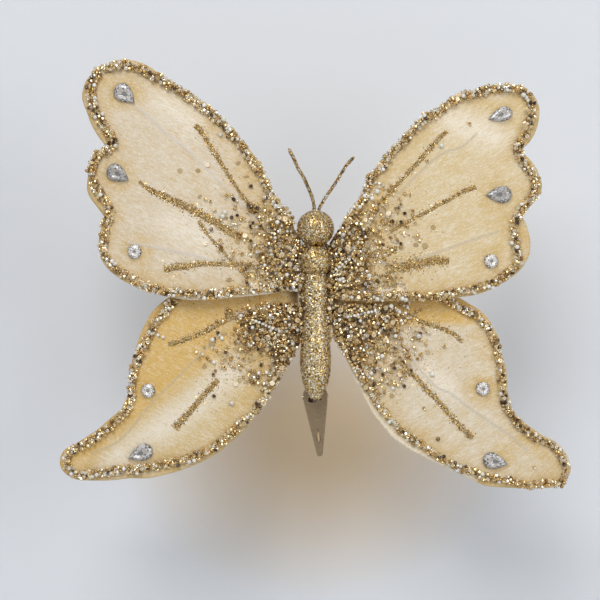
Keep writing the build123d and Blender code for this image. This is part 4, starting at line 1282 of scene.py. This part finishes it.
def edge_glitter(wing, rng, line, width, radius, seed):
    """The glue band along a wing's margin, with its glitter."""
    heap = Heap()
    ridge(heap, wing, line, np.full(len(line), width * 0.95), 0.6, seed)
    count = len(line) * 9
    at = rng.integers(0, len(line), count)
    off = np.clip(rng.normal(0, 0.36, count), -0.62, 0.62) * width
    flat = line[at] + line_sides(line)[at] * off[:, None]
    lift = CLOTH_FACE + 0.55 * dome(off, width / 1.9) + 0.06
    flakes_on(heap, rng, wing, flat, lift, radius * 1.1, EDGE_FLAKES)
    return heap


def bead_rope(wing, rng, line, width, beads):
    """The rope of mixed beads along a wing's margin."""
    side = line_sides(line)
    pile = Pile(wing, rng, beads, CLOTH_FACE + 2.5, bends=True)
    tries = int(len(line) * 0.8 * width * 2.0)
    order = rng.integers(0, len(line), tries)
    kinds = rng.choice(len(BEADS), tries, p=ROPE_MIX)
    for spot, kind in zip(order, kinds):
        off = float(np.clip(rng.normal(0, 0.27), -0.5, 0.5)) * width
        x, z = line[spot] + side[spot] * off
        pile.drop(x, z, kind, CLOTH_FACE + 0.4, rng.uniform(0.84, 1.05))
    heap = Heap()
    pile.write(heap)
    return heap


class BUTTERFLY_OT_edging(bpy.types.Operator):
    """Makes the glue band, the bead rope and its glitter along each wing's margin"""

    bl_idname = "butterfly.edging"
    bl_label = "Bead edging"

    def execute(self, context):
        beads = context.scene.butterfly_beads
        shared_finishes()
        for number, wing in enumerate(WINGS):
            width = beads.rope_width / MM * wing.rope_share
            rng = np.random.default_rng(beads.seed + number)
            line = smooth(spots(wing.rope), 0.8)
            line = line[from_middle(line) > ROOT_ACROSS + 0.4]
            glue = edge_glitter(wing, rng, line, width, beads.flake_radius / MM, number)
            piece = glue.piece(f"{wing.name}_edge_glitter", finishes_of(GLITTERED))
            bend_at_root(piece, f"{wing.name}_edge_glue")
            rope = bead_rope(wing, rng, line, width, beads)
            piece = rope.piece(f"{wing.name}_bead_rope", finishes_of(BEADS))
            bend_at_root(piece, f"{wing.name}_edge_beads")
        return {"FINISHED"}


class BUTTERFLY_OT_veins(bpy.types.Operator):
    """Makes the glitter-glue veins of each wing"""

    bl_idname = "butterfly.veins"
    bl_label = "Glitter veins"

    def execute(self, context):
        beads = context.scene.butterfly_beads
        shared_finishes()
        for number, wing in enumerate(WINGS):
            rng = np.random.default_rng(beads.seed + VEIN_SEED + number)
            heap = Heap()
            for order, (run, widths) in enumerate(wing.veins):
                line = smooth(spots(run), 0.5)
                wide = tapered(widths, len(line))
                ridge(heap, wing, line, wide * 0.6, 0.5, number * 7 + order)
                # On the vein itself, then strewn beside it
                for spread, share, rise in ((0.34, 28, 0.4), (0.9, 1.4, 0.04)):
                    count = int(len(line) * share * max(widths) / 2)
                    at = rng.integers(0, len(line), count)
                    off = rng.normal(0, spread, count) * wide[at]
                    flat = line[at] + line_sides(line)[at] * off[:, None]
                    lift = CLOTH_FACE + 0.06 + rise * dome(off, wide[at] / 2)
                    flakes_on(heap, rng, wing, flat, lift, beads.flake_radius / MM * 1.1, VEIN_FLAKES)
            piece = heap.piece(f"{wing.name}_veins", finishes_of(GLITTERED))
            dress(piece, wing.name, "glitter_glue", f"{wing.name}_glitter_veins")
        return {"FINISHED"}


STRING_STEP = 1.45  # from bead to bead of a string
FREE_TOP = 9.0  # how high strings and strays may lie
DENSE = 22  # millimetres over which a heap thins out


def drop_heaps(pile, wing, rng, outline):
    """Beads of a wing's heaps, more of them near the body."""
    for corners, tries, gather, top in wing.heaps:
        pile.top = CLOTH_FACE + top
        field = spots(corners)
        low, high = field.min(0), field.max(0)
        made = 0
        while made < tries:
            spot = rng.uniform(low, high)
            away = abs(spot[0] - BODY_X) - ROOT_ACROSS
            chance = np.exp(-gather * max(away, 0) / DENSE)
            if away < -1.0 or rng.random() > chance or not inside(spot[None], field)[0]:
                made += 0.1
                continue
            made += 1
            if inside(spot[None], outline)[0]:
                kind = rng.choice(len(BEADS), p=ROOT_MIX)
                pile.drop(spot[0], spot[1], kind, CLOTH_FACE + 0.1, rng.uniform(0.82, 1.0))


def drop_strings(pile, wing):
    """Short strings of white beads."""
    for start, end in wing.strings:
        ends = spots([start, end])
        length = np.linalg.norm(ends[1] - ends[0])
        for share in np.linspace(0, 1, max(3, int(length / STRING_STEP))):
            x, z = ends[0] + share * (ends[1] - ends[0])
            pile.drop(x, z, PEARL_KIND, CLOTH_FACE + 0.2, 0.72)


def drop_strays(pile, wing):
    """Single beads and discs that lie alone on the cloth."""
    for name, places in wing.strays.items():
        for x, z in spots(places):
            pile.drop(x, z, BEADS.index(name), CLOTH_FACE)


def glue_patches(heap, wing, rng, radius, seed):
    """Patches of glitter glue that hold the heaps."""
    for order, (run, widths) in enumerate(wing.patches):
        line = smooth(spots(run), 0.8)
        wide = tapered(widths, len(line)) * 0.8
        ridge(heap, wing, line, wide, 0.5, seed + order, GLUE)
        at = rng.integers(0, len(line), int(wide.sum() * 0.8 * 3.2))
        off = rng.uniform(-0.54, 0.54, len(at)) * wide[at]
        flat = line[at] + line_sides(line)[at] * off[:, None]
        lift = CLOTH_FACE + 0.5 * dome(off, wide[at] / 2)
        flakes_on(heap, rng, wing, flat, lift, radius * 1.2, PATCH_FLAKES, len(BEADS))


def flake_dust(heap, wing, rng, outline, radius):
    """Single flakes strewn on the cloth around the heaps."""
    dust = []
    for corners, tries, _, _ in wing.heaps:
        field = spots(corners)
        spread = (field.max(0) - field.min(0)) * 0.3
        dust.append(rng.normal(field.mean(0), spread, (tries * 2, 2)))
    dust = np.concatenate(dust)
    dust = dust[inside(dust, outline) & (from_middle(dust) > ROOT_ACROSS + 0.6)]
    flakes_on(heap, rng, wing, dust, CLOTH_FACE + 0.1, radius * 0.9, DUST_FLAKES, len(BEADS), 0.3)


class BUTTERFLY_OT_root_beads(bpy.types.Operator):
    """Makes the bead heaps near the body, the strings of white beads and the strays"""

    bl_idname = "butterfly.root_beads"
    bl_label = "Root beads"

    def execute(self, context):
        beads = context.scene.butterfly_beads
        radius = beads.flake_radius / MM
        shared_finishes()
        for number, wing in enumerate(WINGS):
            rng = np.random.default_rng(beads.seed + ROOT_SEED + number)
            outline = outline_of(wing, 2.0)
            pile = Pile(wing, rng, beads, FREE_TOP, bends=True)
            drop_heaps(pile, wing, rng, outline)
            pile.top = FREE_TOP
            drop_strings(pile, wing)
            drop_strays(pile, wing)
            heap = Heap()
            pile.write(heap)
            glue_patches(heap, wing, rng, radius, number * 5)
            flake_dust(heap, wing, rng, outline, radius)
            piece = heap.piece(f"{wing.name}_root_heap", finishes_of(TRIMS))
            bend_at_root(piece, f"{wing.name}_root_beads")
        return {"FINISHED"}


# The collar's line beside the body: how far across, and how high
COLLAR = [(6.2, 46.0), (6.5, 70.0), (6.9, 87.0), (6.2, 91.2), (3.6, 92.4)]
COLLAR_Y = -7.7
COLLAR_WIDTHS = (3.0, 3.2, 3.2)
COLLAR_BEADS = 700
COLLAR_TOP = 4.0  # how high its beads may lie


class BUTTERFLY_OT_collar(bpy.types.Operator):
    """Makes the glue and beads that close the gap between the body and the wings"""

    bl_idname = "butterfly.collar"
    bl_label = "Bead collar"

    def execute(self, context):
        beads = context.scene.butterfly_beads
        shared_finishes()
        front = Front(COLLAR_Y)
        for side, word in ((-1, "left"), (1, "right")):
            rng = np.random.default_rng(beads.seed + COLLAR_SEED + side)
            heap = Heap()
            line = steps_along(np.array([(BODY_X + side * across, height) for across, height in COLLAR]), 0.8)
            ridge(heap, front, line, tapered(COLLAR_WIDTHS, len(line)), 0.9, 90 + side, GLUE)
            pile = Pile(front, rng, beads, COLLAR_TOP, bends=False)
            for at in rng.integers(0, len(line), COLLAR_BEADS):
                x = line[at][0] + side * rng.uniform(-1.7, 1.2)
                # painted shade: collar beads come from the darker mix
                kind = rng.choice(len(BEADS), p=COLLAR_DARK_AND_SHADE_MIX)
                z = line[at][1] + rng.uniform(-0.5, 0.5)
                pile.drop(x, z, kind, CLOTH_FACE + 0.4, rng.uniform(0.75, 0.95))
            pile.write(heap)
            dress(heap.piece(f"{word}_collar", finishes_of(TRIMS)), "body", "gold_beads")
        return {"FINISHED"}


# Stones

STONE_FINISHES = ["stone_glass", "stone_bright", "stone_grey", "stone_dark", "stone_tan"]
GIRDLE = 0.8  # height of a stone's upright rim
CROWN = 1.9  # height of the facets above it
ROUND_RADIUS = 3.6
ROUND_CORNERS = 12
PEAR_CORNERS = 14

# Rings of corners: share of the outline, of the girdle and of the crown, and whether between the corners
CROWN_RINGS = [(1.0, 0.0, 0.0, False), (1.0, 1.0, 0.0, False), (0.9, 1.0, 0.62, True),
               (0.72, 1.0, 1.0, False)]
FOIL_RINGS = [(0.93, 0.15, 0.0, False), (0.93, 0.6, 0.0, False), (0.76, 1.0, 0.42, True),
              (0.56, 1.0, 0.55, False), (0.26, 1.0, 0.3, True)]

# Numbers of the stones' finishes, one facet after another, on the foil's slopes and its sunk table: painted
# reflections
SLOPE_SHADES = (1, 2, 1, 4, 1, 3, 1, 2, 4, 1, 1, 2, 1, 3)
TABLE_SHADES = (4, 1, 4, 2, 1, 4, 4)


def facet_pairs(ring, count, crossed):
    """The two triangles at each corner between a ring and the next one."""
    here, there = ring * count, (ring + 1) * count
    for n in range(count):
        after = (n + 1) % count
        if crossed:
            yield (here + n, there + after, there + n), (here + n, here + after, there + after)
        else:
            yield (here + n, here + after, there + n), (here + after, there + after, there + n)


def foil_shade(ring, n, order):
    """The finish of one facet of the foil, a painted reflection, so that neighbours differ as reflections do.
    """
    if ring == 0:
        return 2 + n % 2
    if ring == 3:
        return TABLE_SHADES[(n * 2 + order) % len(TABLE_SHADES)]
    return SLOPE_SHADES[(n * 2 + order * 3 + ring * 5) % len(SLOPE_SHADES)]


def gem(heap, wing, middle, aim, corners):
    """A clear crown over a faceted foil, its outline given by corners about the middle."""
    count = len(corners)
    place, out, sideways = (part[0] for part in wing.frames(np.array([middle])))
    upward = np.array([0.0, 0.0, 1.0])
    turn = radians(aim)
    first = sideways * cos(turn) + upward * sin(turn)
    second = upward * cos(turn) - sideways * sin(turn)

    def rings(table):
        """Points of all rings of a table."""
        points = []
        for share, rim, rise, between in table:
            flat = corners * share
            if between:
                flat = (flat + np.roll(flat, -1, 0)) / 2
            lift = CLOTH_FACE + 0.05 + rim * GIRDLE + rise * CROWN
            points.append(place + np.outer(flat[:, 0], first) + np.outer(flat[:, 1], second) + out * lift)
        return np.concatenate(points)

    back = tuple(range(count))[::-1]
    faces = [(n, (n + 1) % count, (n + 1) % count + count, n + count) for n in range(count)]
    for ring, crossed in ((1, False), (2, True)):
        faces += [face for pair in facet_pairs(ring, count, crossed) for face in pair]
    faces += [tuple(3 * count + n for n in range(count)), back]
    heap.add(rings(CROWN_RINGS), faces, 0, is_flat=True)

    # The foil under the crown: facets of several greys painted as its reflections look
    start = heap.count
    heap.add(rings(FOIL_RINGS), [back], 2, is_flat=True)
    facets, shades = [], []
    for ring in range(4):
        for n, pair in enumerate(facet_pairs(ring, count, ring == 2)):
            facets += pair
            shades += [foil_shade(ring, n, order) for order in range(2)]
    heap.rows(np.array(facets) + start, shades, True)
    heap.rows(np.array([[4 * count + n for n in range(count)]]) + start, 2, True)


def turns_of(count):
    """Even angles around a circle."""
    return np.arange(count) * 2 * pi / count


def pear_corners(length, width):
    """Corners of a pear shape, its point along X."""
    turns = turns_of(PEAR_CORNERS)
    swell = np.sin(turns) * np.sin(turns / 2) / 0.77
    return np.stack([length / 2 * np.cos(turns), width / 2 * swell], 1)


def round_corners():
    """Corners of a round stone."""
    turns = turns_of(ROUND_CORNERS)
    return np.stack([np.cos(turns), np.sin(turns)], 1) * ROUND_RADIUS


class BUTTERFLY_OT_stones(bpy.types.Operator):
    """Makes the clear pear and round stones"""

    bl_idname = "butterfly.stones"
    bl_label = "Stones"

    def execute(self, context):
        shared_finishes()
        finishes = finishes_of(STONE_FINISHES)
        for wing in WINGS:
            pears = Heap()
            for spot, aim, length, width in wing.pears:
                gem(pears, wing, spots([spot])[0], aim, pear_corners(length, width))
            plural = "s" if len(wing.pears) > 1 else ""
            piece = pears.piece(f"{wing.name}_pears", finishes)
            dress(piece, wing.name, "clear_stone", f"{wing.name}_pear_stone{plural}")
            rounds = Heap()
            gem(rounds, wing, spots([wing.round_stone])[0], 0.0, round_corners())
            piece = rounds.piece(f"{wing.name}_round", finishes)
            dress(piece, wing.name, "clear_stone", f"{wing.name}_round_stone")
        return {"FINISHED"}


# Body

# The abdomen from tail to thorax: share of its radius, and share of its length
ABDOMEN_PROFILE = [
    (0.0, 0.02), (0.24, 0.028), (0.46, 0.063), (0.68, 0.11), (0.86, 0.18), (1.0, 0.304), (0.93, 0.462),
    (0.8, 0.61), (0.735, 0.695), (0.775, 0.79), (0.77, 0.92), (0.6, 1.0), (0.0, 1.0),
]
FOAM_SIDES = 56
FOAM_FLAKES = 2.4  # flakes for each square millimetre
ARC_STEPS = 26
SKIN_RISE = 0.16  # how far the flakes lie off the foam
SKIN_LEAN = 0.42


def turned_foam(heap, rng, profile, seed, radius, highlight_shares):
    """A lumpy foam piece turned about the body's axis, its glitter a painted highlight in front and painted
    shade at the sides.
    """
    rows = len(profile)
    turns = turns_of(FOAM_SIDES)
    r, z = profile.T
    slope = directions(profile)
    normal_r, normal_z = slope[:, 1], -slope[:, 0]

    def swept(radial, height):
        """Points turned about the axis from radii and heights."""
        columns = [np.outer(radial, np.cos(turns)), np.outer(radial, np.sin(turns)),
                   np.tile(height[:, None], (1, FOAM_SIDES))]
        return np.stack(columns, 2).reshape(-1, 3)

    base = swept(r, z)
    lumps = 0.16 * wobble(base, 2.6, seed) + 0.13 * wobble(base, 0.9, seed + 1)
    verts = base + swept(normal_r, normal_z) * lumps[:, None] + np.array([BODY_X, BODY_Y, 0])
    heap.add(verts, tube_faces(rows, FOAM_SIDES), 0)

    span = np.linalg.norm(np.diff(profile, axis=0), axis=1)
    ring_area = span * pi * (r[1:] + r[:-1])
    count = int(ring_area.sum() * FOAM_FLAKES)
    row = rng.choice(rows - 1, count, p=ring_area / ring_area.sum())
    share = rng.random(count)
    turn = rng.uniform(0, 2 * pi, count)
    radial = r[row] * (1 - share) + r[row + 1] * share + SKIN_RISE
    height = z[row] * (1 - share) + z[row + 1] * share
    away = np.stack([normal_r[row] * np.cos(turn), normal_r[row] * np.sin(turn), normal_z[row]], 1)
    places = np.stack([BODY_X + radial * np.cos(turn), BODY_Y + radial * np.sin(turn), height], 1)
    # painted highlight and shade: flakes that face the front take the paler shares, the rest the browner side
    # shares
    is_highlit_front = away[:, 1] < -0.62
    for chosen, shares in ((is_highlit_front, highlight_shares), (~is_highlit_front, SIDE_SHADE_FLAKES)):
        scatter_flakes(heap, rng, places[chosen], away[chosen], radius, shares, lean=SKIN_LEAN)


def arc_profile(height, radius, low, high):
    """Profile of a ball between two heights."""
    start = np.arccos(np.clip((height - low) / radius, -1, 1))
    end = np.arccos(np.clip((height - high) / radius, -1, 1))
    angles = np.linspace(start, end, ARC_STEPS)
    return np.stack([radius * np.sin(angles), height - radius * np.cos(angles)], 1)


class BUTTERFLY_OT_body(bpy.types.Operator):
    """Makes the glitter-coated head, thorax and abdomen"""

    bl_idname = "butterfly.body"
    bl_label = "Glitter body"

    def execute(self, context):
        beads = context.scene.butterfly_beads
        shared_finishes()
        shades = [(0.0, (70, 42, 6)), (0.25, (178, 128, 40)), (0.5, (240, 198, 104)),
                  (0.75, (255, 234, 176)), (1.0, (255, 252, 240))]
        skin = glitter("body_glitter", shades, (72, 46, 10), 0.5, 0.22, 0.62)
        rng = np.random.default_rng(beads.seed + BODY_SEED)
        points = np.array([(max(share, 0.02) * ABDOMEN_RADIUS, TAIL_HEIGHT + up * ABDOMEN_LENGTH)
                           for share, up in ABDOMEN_PROFILE])
        head_top = HEAD_HEIGHT + HEAD_RADIUS
        parts = [
            ("abdomen", smooth(points, 0.7), ABDOMEN_HIGHLIGHT_FLAKES),
            ("thorax", arc_profile(THORAX_HEIGHT, THORAX_RADIUS, THORAX_LOW, NECK_HEIGHT), CHEST_HIGHLIGHT_FLAKES),
            ("head", arc_profile(HEAD_HEIGHT, HEAD_RADIUS, NECK_HEIGHT, head_top), CHEST_HIGHLIGHT_FLAKES),
        ]
        for number, (name, profile, shares) in enumerate(parts):
            profile[:, 0] = np.maximum(profile[:, 0], 0.05)
            heap = Heap()
            turned_foam(heap, rng, profile, 3 + number, beads.flake_radius / MM * 1.2, shares)
            dress(heap.piece(f"glitter_{name}", [skin, *finishes_of(FLAKES)]), "body", "body_glitter", name)
        return {"FINISHED"}


# Antennae, as spots of the photograph and a radius in millimetres
ANTENNAE = {
    "left_antenna": ([(314.5, 216), (314, 209), (313, 201), (308, 188), (304, 179), (298, 169),
                      (294, 160), (289, 150)], 0.74),
    "right_antenna": ([(317, 216), (318.7, 210), (325, 199), (331, 190), (337.6, 180),
                       (342.7, 171.6), (346.7, 165.5), (353.4, 158.4)], 0.66),
}
ANTENNA_SIDES = 10
CLUMP_MIDDLE = np.array([BODY_X + 0.3, BODY_Y - 0.6, 107.7])
CLUMP_HALVES = (1.9, 2.2, 1.3)  # across, deep and high
CLUMP_COUNT = 260  # flakes on it


def glitter_wire(heap, rng, run, radius, flake_radius, seed):
    """A wire along spots of the photograph, its coat of glue lumpy with flakes."""
    line = smooth(spots(run), 0.5)
    count = len(line)
    path = np.stack([line[:, 0], np.full(count, BODY_Y), line[:, 1]], 1)
    way = directions(path)
    depth = np.tile([[0.0, 1.0, 0.0]], (count, 1))
    side = np.cross(way, depth)
    lumps = radius * (1 + 0.16 * wobble(path, 1.1, seed))
    lumps[-2:] *= (0.8, 0.4)
    turns = turns_of(ANTENNA_SIDES)
    rings = [path[n] + lumps[n] * (np.outer(np.cos(turns), side[n]) + np.outer(np.sin(turns), depth[n]))
             for n in range(count)]
    heap.add(np.concatenate(rings), tube_faces(count, ANTENNA_SIDES), 0)
    flakes = count * 9
    at = rng.integers(0, count, flakes)
    turn = rng.uniform(0, 2 * pi, flakes)
    away = side[at] * np.cos(turn)[:, None] + depth[at] * np.sin(turn)[:, None]
    along = way[at] * rng.uniform(-0.25, 0.25, (flakes, 1))
    places = path[at] + away * (lumps[at] + 0.03)[:, None] + along
    scatter_flakes(heap, rng, places, away, flake_radius * 1.25, ANTENNA_FLAKES)


def glitter_clump(heap, rng, flake_radius):
    """The clump of glitter where the antennae leave the head."""
    verts, faces = CLUMP
    lumpy = verts * (1 + 0.25 * wobble(verts, 0.7, 77))[:, None] * CLUMP_HALVES
    heap.add(lumpy + CLUMP_MIDDLE, faces, 0)
    aims = rng.normal(0, 1, (CLUMP_COUNT, 3))
    aims /= np.linalg.norm(aims, axis=1, keepdims=True)
    places = CLUMP_MIDDLE + aims * (np.array(CLUMP_HALVES) + 0.1)
    scatter_flakes(heap, rng, places, aims, flake_radius, CLUMP_FLAKES)


class BUTTERFLY_OT_antennae(bpy.types.Operator):
    """Makes the antennae and the clump of glitter where they leave the head"""

    bl_idname = "butterfly.antennae"
    bl_label = "Antennae"

    def execute(self, context):
        beads = context.scene.butterfly_beads
        shared_finishes()
        shades = [(0.0, (52, 32, 12)), (0.4, (112, 78, 34)), (0.7, (200, 164, 100)), (1.0, (250, 240, 214))]
        skin = glitter("antenna_glitter", shades, (58, 40, 20), 0.62, 0.3, 0.9)
        flake_radius = beads.flake_radius / MM
        for number, (name, (run, radius)) in enumerate(ANTENNAE.items()):
            rng = np.random.default_rng(beads.seed + ANTENNA_SEED + number)
            heap = Heap()
            glitter_wire(heap, rng, run, radius, flake_radius, number + 50)
            if number == 0:
                glitter_clump(heap, rng, flake_radius)
            piece = heap.piece(f"glitter_{name}", [skin, *finishes_of(FLAKES)])
            dress(piece, "body", "antenna_glitter", name)
        return {"FINISHED"}


# Glue and metal behind the body

MOUNDS = {"glue_bed": 0.45, "clip_glue": 0.35}  # how finely each mound is rounded, in millimetres
SPRING_SEAT = -2.195
SPRING_PROFILE = [(SPRING_SEAT, 4.4), (SPRING_SEAT, 9.0), (SPRING_SEAT, 14.0), (SPRING_SEAT, 19.0),
                  (SPRING_SEAT + 0.05, 21.5), (SPRING_SEAT + 0.55, 23.0), (0.1, 24.4), (3.2, 26.9),
                  (4.0, 27.6), (3.6, 28.7), (2.9, 29.3)]
SPRING_HALF = 1.7  # half its width
SPRING_DEPTH = 0.17  # half its thickness
SPRING_MARGIN = 0.18  # it stays this far inside its solid's box, front and back
CLIP_SKEW = 4.5  # degrees that the clip leans sideways


class BUTTERFLY_OT_glue(bpy.types.Operator):
    """Makes the mounds of hot glue behind the body, softened from their solids"""

    bl_idname = "butterfly.glue"
    bl_label = "Hot glue"

    def execute(self, context):
        shade = glue_finish()
        for node, voxel in MOUNDS.items():
            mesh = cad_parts[node].data.copy()
            piece = bpy.data.objects.new(f"{node}_mound", mesh)
            context.scene.collection.objects.link(piece)
            mesh.materials.clear()
            mesh.materials.append(shade)
            remesh = piece.modifiers.new("remesh", "REMESH")
            remesh.mode = "VOXEL"
            remesh.voxel_size = voxel * MM
            remesh.use_smooth_shade = True
            soften = piece.modifiers.new("soften", "SMOOTH")
            soften.factor = 0.6
            soften.iterations = 5
            depsgraph = context.evaluated_depsgraph_get()
            done = bpy.data.meshes.new_from_object(piece.evaluated_get(depsgraph))
            piece.modifiers.clear()
            piece.data = done
            for vertex in done.vertices:
                vertex.co += vertex.normal * noise.noise(vertex.co / (2.4 * MM)) * 0.16 * MM
            dress(piece, "body", "hot_glue", node)
        return {"FINISHED"}


def leaf_spring():
    """The spring between the clip's halves, a bent strip of steel."""
    low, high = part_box("clip_spring")
    line = smooth(np.array(SPRING_PROFILE), 0.4)
    line[:, 0] = np.clip(line[:, 0], low.y / MM + SPRING_MARGIN, high.y / MM - SPRING_MARGIN)
    line[:, 1] = low.z / MM + (line[:, 1] - line[:, 1].min()) * (high.z - low.z) / MM / np.ptp(line[:, 1])
    out = line_sides(line)
    corners = []
    for depth, across in ((SPRING_DEPTH, -SPRING_HALF), (SPRING_DEPTH, SPRING_HALF),
                          (-SPRING_DEPTH, SPRING_HALF), (-SPRING_DEPTH, -SPRING_HALF)):
        y, z = (line + out * depth).T
        corners.append(np.stack([across - z * tan(radians(CLIP_SKEW)), y, z], 1))
    heap = Heap()
    heap.add(np.stack(corners, 1), tube_faces(len(line), len(corners)), 0)
    return heap.piece("leaf_spring", [metal("spring_steel", (150, 142, 130), 0.3)])


class BUTTERFLY_OT_hardware(bpy.types.Operator):
    """Gives the clip, its pin and the wires their metal, and makes the leaf spring"""

    bl_idname = "butterfly.hardware"
    bl_label = "Clip and wires"

    def execute(self, context):
        steel = metal("clip_steel", (178, 156, 126), 0.3)
        wire = metal("wire_steel", (176, 168, 154), 0.36, streak=False)
        pin = metal("pin_steel", (186, 174, 154), 0.26, streak=False)
        kept = {"clip_fixed_jaw": steel, "clip_moving_jaw": steel, "clip_pin": pin, "core_wire": wire}
        kept.update({f"{wing.name}_wires": wire for wing in WINGS})
        for node, finish in kept.items():
            node_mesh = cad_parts[node].data
            node_mesh.materials.clear()
            node_mesh.materials.append(finish)
        spring = leaf_spring()
        dress(spring, "body", "spring_steel", "clip_spring")
        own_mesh(spring)
        return {"FINISHED"}


# Stage

SWEEP_BEND = 90.0  # radius of the backdrop's bend
SWEEP_FRONT = -900.0
SWEEP_HALF = 1000.0
KEY = ("key", (-0.25, -0.95, 0.85), 0.62)  # metres
FILL = ("fill", (0.75, -0.8, 0.25), 0.6)
FILL_SHARE = 0.36  # of the key light's power
LAMP_AIM = Vector((0, 0, 0.06))
LENS = 85.0
SENSOR = 36.0
FRONT_OF_BODY = 6.0  # the plane at which the photograph's scale holds


def stage_finish():
    """Pale paper with a painted warm shadow behind the ornament, seen from its front only."""
    f = Finish("stage_paper")
    # painted shadow: a soft warm brown patch on the paper behind the ornament's lower middle
    near = f.node("Mapping", {"Vector": f.space(), "Location": (0.0, 0.0, 0.12),
                              "Scale": (0.009, 0.0, 0.011)}).outputs[0]
    warm = f.node("TexGradient", {"Vector": near}, gradient_type="SPHERICAL").outputs["Fac"]
    colour = f.mix(f.grey_ramp(warm, 0.0, 0.9, 0.0, 0.8), tint(223, 226, 231), tint(230, 206, 170))
    f.set(Base_Color=colour, Roughness=0.9, Specular_IOR_Level=0.1)
    f.bump(f.noise(f.space((1.0, 1.0, 1.0)), 900.0), 0.02, 0.0002)
    clear = f.node("BsdfTransparent").outputs[0]
    behind = f.node("NewGeometry").outputs["Backfacing"]
    mixed = f.node("MixShader", {0: behind, 1: f.shader.outputs[0], 2: clear})
    f.tree.links.new(mixed.outputs[0], f.tree.nodes["Material Output"].inputs["Surface"])
    return f.material


def backdrop(behind, floor):
    """The paper: a floor that bends up into a wall."""
    turns = np.linspace(0, pi / 2, 12)
    foot = behind - SWEEP_BEND
    sweep = [(SWEEP_FRONT, floor), (foot - 200, floor)]
    sweep += [(foot + SWEEP_BEND * sin(turn), floor + SWEEP_BEND - SWEEP_BEND * cos(turn)) for turn in turns]
    sweep += [(behind, floor + 300), (behind, floor + 900)]
    verts = [(x, y, z) for x in (-SWEEP_HALF, SWEEP_HALF) for y, z in sweep]
    count = len(sweep)
    heap = Heap()
    heap.add(verts, [(n, n + count, n + 1 + count, n + 1) for n in range(count - 1)], 0)
    return heap.piece("backdrop", [stage_finish()])


def studio_world(scene):
    """Soft light from all around, stronger from above."""
    world = bpy.data.worlds.new("studio")
    scene.world = world
    world.use_nodes = True
    tree = world.node_tree
    way = tree.nodes.new("ShaderNodeTexCoord").outputs["Generated"]
    split = tree.nodes.new("ShaderNodeSeparateXYZ")
    tree.links.new(way, split.inputs[0])
    level_node = tree.nodes.new("ShaderNodeMapRange")
    level_node.interpolation_type = "SMOOTHSTEP"
    for key, value in (("From Min", -0.6), ("From Max", 0.8), ("To Min", 0.13), ("To Max", 0.38)):
        level_node.inputs[key].default_value = value
    tree.links.new(split.outputs["Z"], level_node.inputs["Value"])
    tree.links.new(level_node.outputs[0], tree.nodes["Background"].inputs["Strength"])
    tree.nodes["Background"].inputs["Color"].default_value = (1.0, 0.99, 0.97, 1.0)


def add_lamp(scene, name, place, size, power):
    """A square lamp aimed at the ornament."""
    lamp = bpy.data.lights.new(name, "AREA")
    lamp.size = size
    lamp.energy = power
    holder = bpy.data.objects.new(name, lamp)
    holder.location = place
    holder.rotation_euler = (LAMP_AIM - holder.location).to_track_quat("-Z", "Y").to_euler()
    scene.collection.objects.link(holder)


def add_camera(scene):
    """The camera, at the distance where the frame is as wide as the photograph."""
    camera = bpy.data.cameras.new("camera")
    camera.lens = LENS
    camera.sensor_width = SENSOR
    holder = bpy.data.objects.new("camera", camera)
    middle = PHOTO_SIDE / 2
    distance = PHOTO_SIDE * PIXEL * MM * LENS / SENSOR
    x = (BODY_X + (middle - AXIS_COLUMN) * PIXEL) * MM
    holder.location = (x, -distance - FRONT_OF_BODY * MM, (ORIGIN_ROW - middle) * PIXEL * MM)
    holder.rotation_euler = (pi / 2, 0, 0)
    scene.collection.objects.link(holder)
    scene.camera = holder


class BUTTERFLY_OT_stage(bpy.types.Operator):
    """Makes the pale backdrop and floor, the soft lights and the camera"""

    bl_idname = "butterfly.stage"
    bl_label = "Stage"

    def execute(self, context):
        scene = context.scene
        settings = scene.butterfly_stage
        backdrop(settings.backdrop_behind / MM, settings.floor_height / MM)
        studio_world(scene)
        add_lamp(scene, *KEY, settings.key_power)
        add_lamp(scene, *FILL, settings.key_power * FILL_SHARE)
        add_camera(scene)
        scene.view_settings.view_transform = "Standard"
        return {"FINISHED"}


OPERATORS = [
    BUTTERFLY_OT_cloths, BUTTERFLY_OT_edging, BUTTERFLY_OT_veins, BUTTERFLY_OT_root_beads,
    BUTTERFLY_OT_collar, BUTTERFLY_OT_stones, BUTTERFLY_OT_body, BUTTERFLY_OT_antennae,
    BUTTERFLY_OT_glue, BUTTERFLY_OT_hardware, BUTTERFLY_OT_stage,
]


class BUTTERFLY_PT_panel(bpy.types.Panel):
    """Lists the ornament's pieces and their settings"""

    bl_idname = "BUTTERFLY_PT_panel"
    bl_label = "Butterfly ornament"
    bl_space_type = "VIEW_3D"
    bl_region_type = "UI"
    bl_category = "Butterfly"

    def draw(self, context):
        for group in (context.scene.butterfly_beads, context.scene.butterfly_cloth,
                      context.scene.butterfly_stage):
            for name in group.__annotations__:
                self.layout.prop(group, name)
        for operator in OPERATORS:
            self.layout.operator(operator.bl_idname)


CLASSES = [BeadSettings, ClothSettings, StageSettings, *OPERATORS, BUTTERFLY_PT_panel]


def register():
    for one in CLASSES:
        bpy.utils.register_class(one)
    bpy.types.Scene.butterfly_beads = bpy.props.PointerProperty(type=BeadSettings)
    bpy.types.Scene.butterfly_cloth = bpy.props.PointerProperty(type=ClothSettings)
    bpy.types.Scene.butterfly_stage = bpy.props.PointerProperty(type=StageSettings)


def unregister():
    del bpy.types.Scene.butterfly_beads
    del bpy.types.Scene.butterfly_cloth
    del bpy.types.Scene.butterfly_stage
    for one in reversed(CLASSES):
        bpy.utils.unregister_class(one)


def main():
    register()
    bpy.ops.butterfly.cloths()
    bpy.ops.butterfly.edging()
    bpy.ops.butterfly.veins()
    bpy.ops.butterfly.root_beads()
    bpy.ops.butterfly.collar()
    bpy.ops.butterfly.stones()
    bpy.ops.butterfly.body()
    bpy.ops.butterfly.antennae()
    bpy.ops.butterfly.glue()
    bpy.ops.butterfly.hardware()
    bpy.ops.butterfly.stage()


if __name__ == "__main__":
    main()
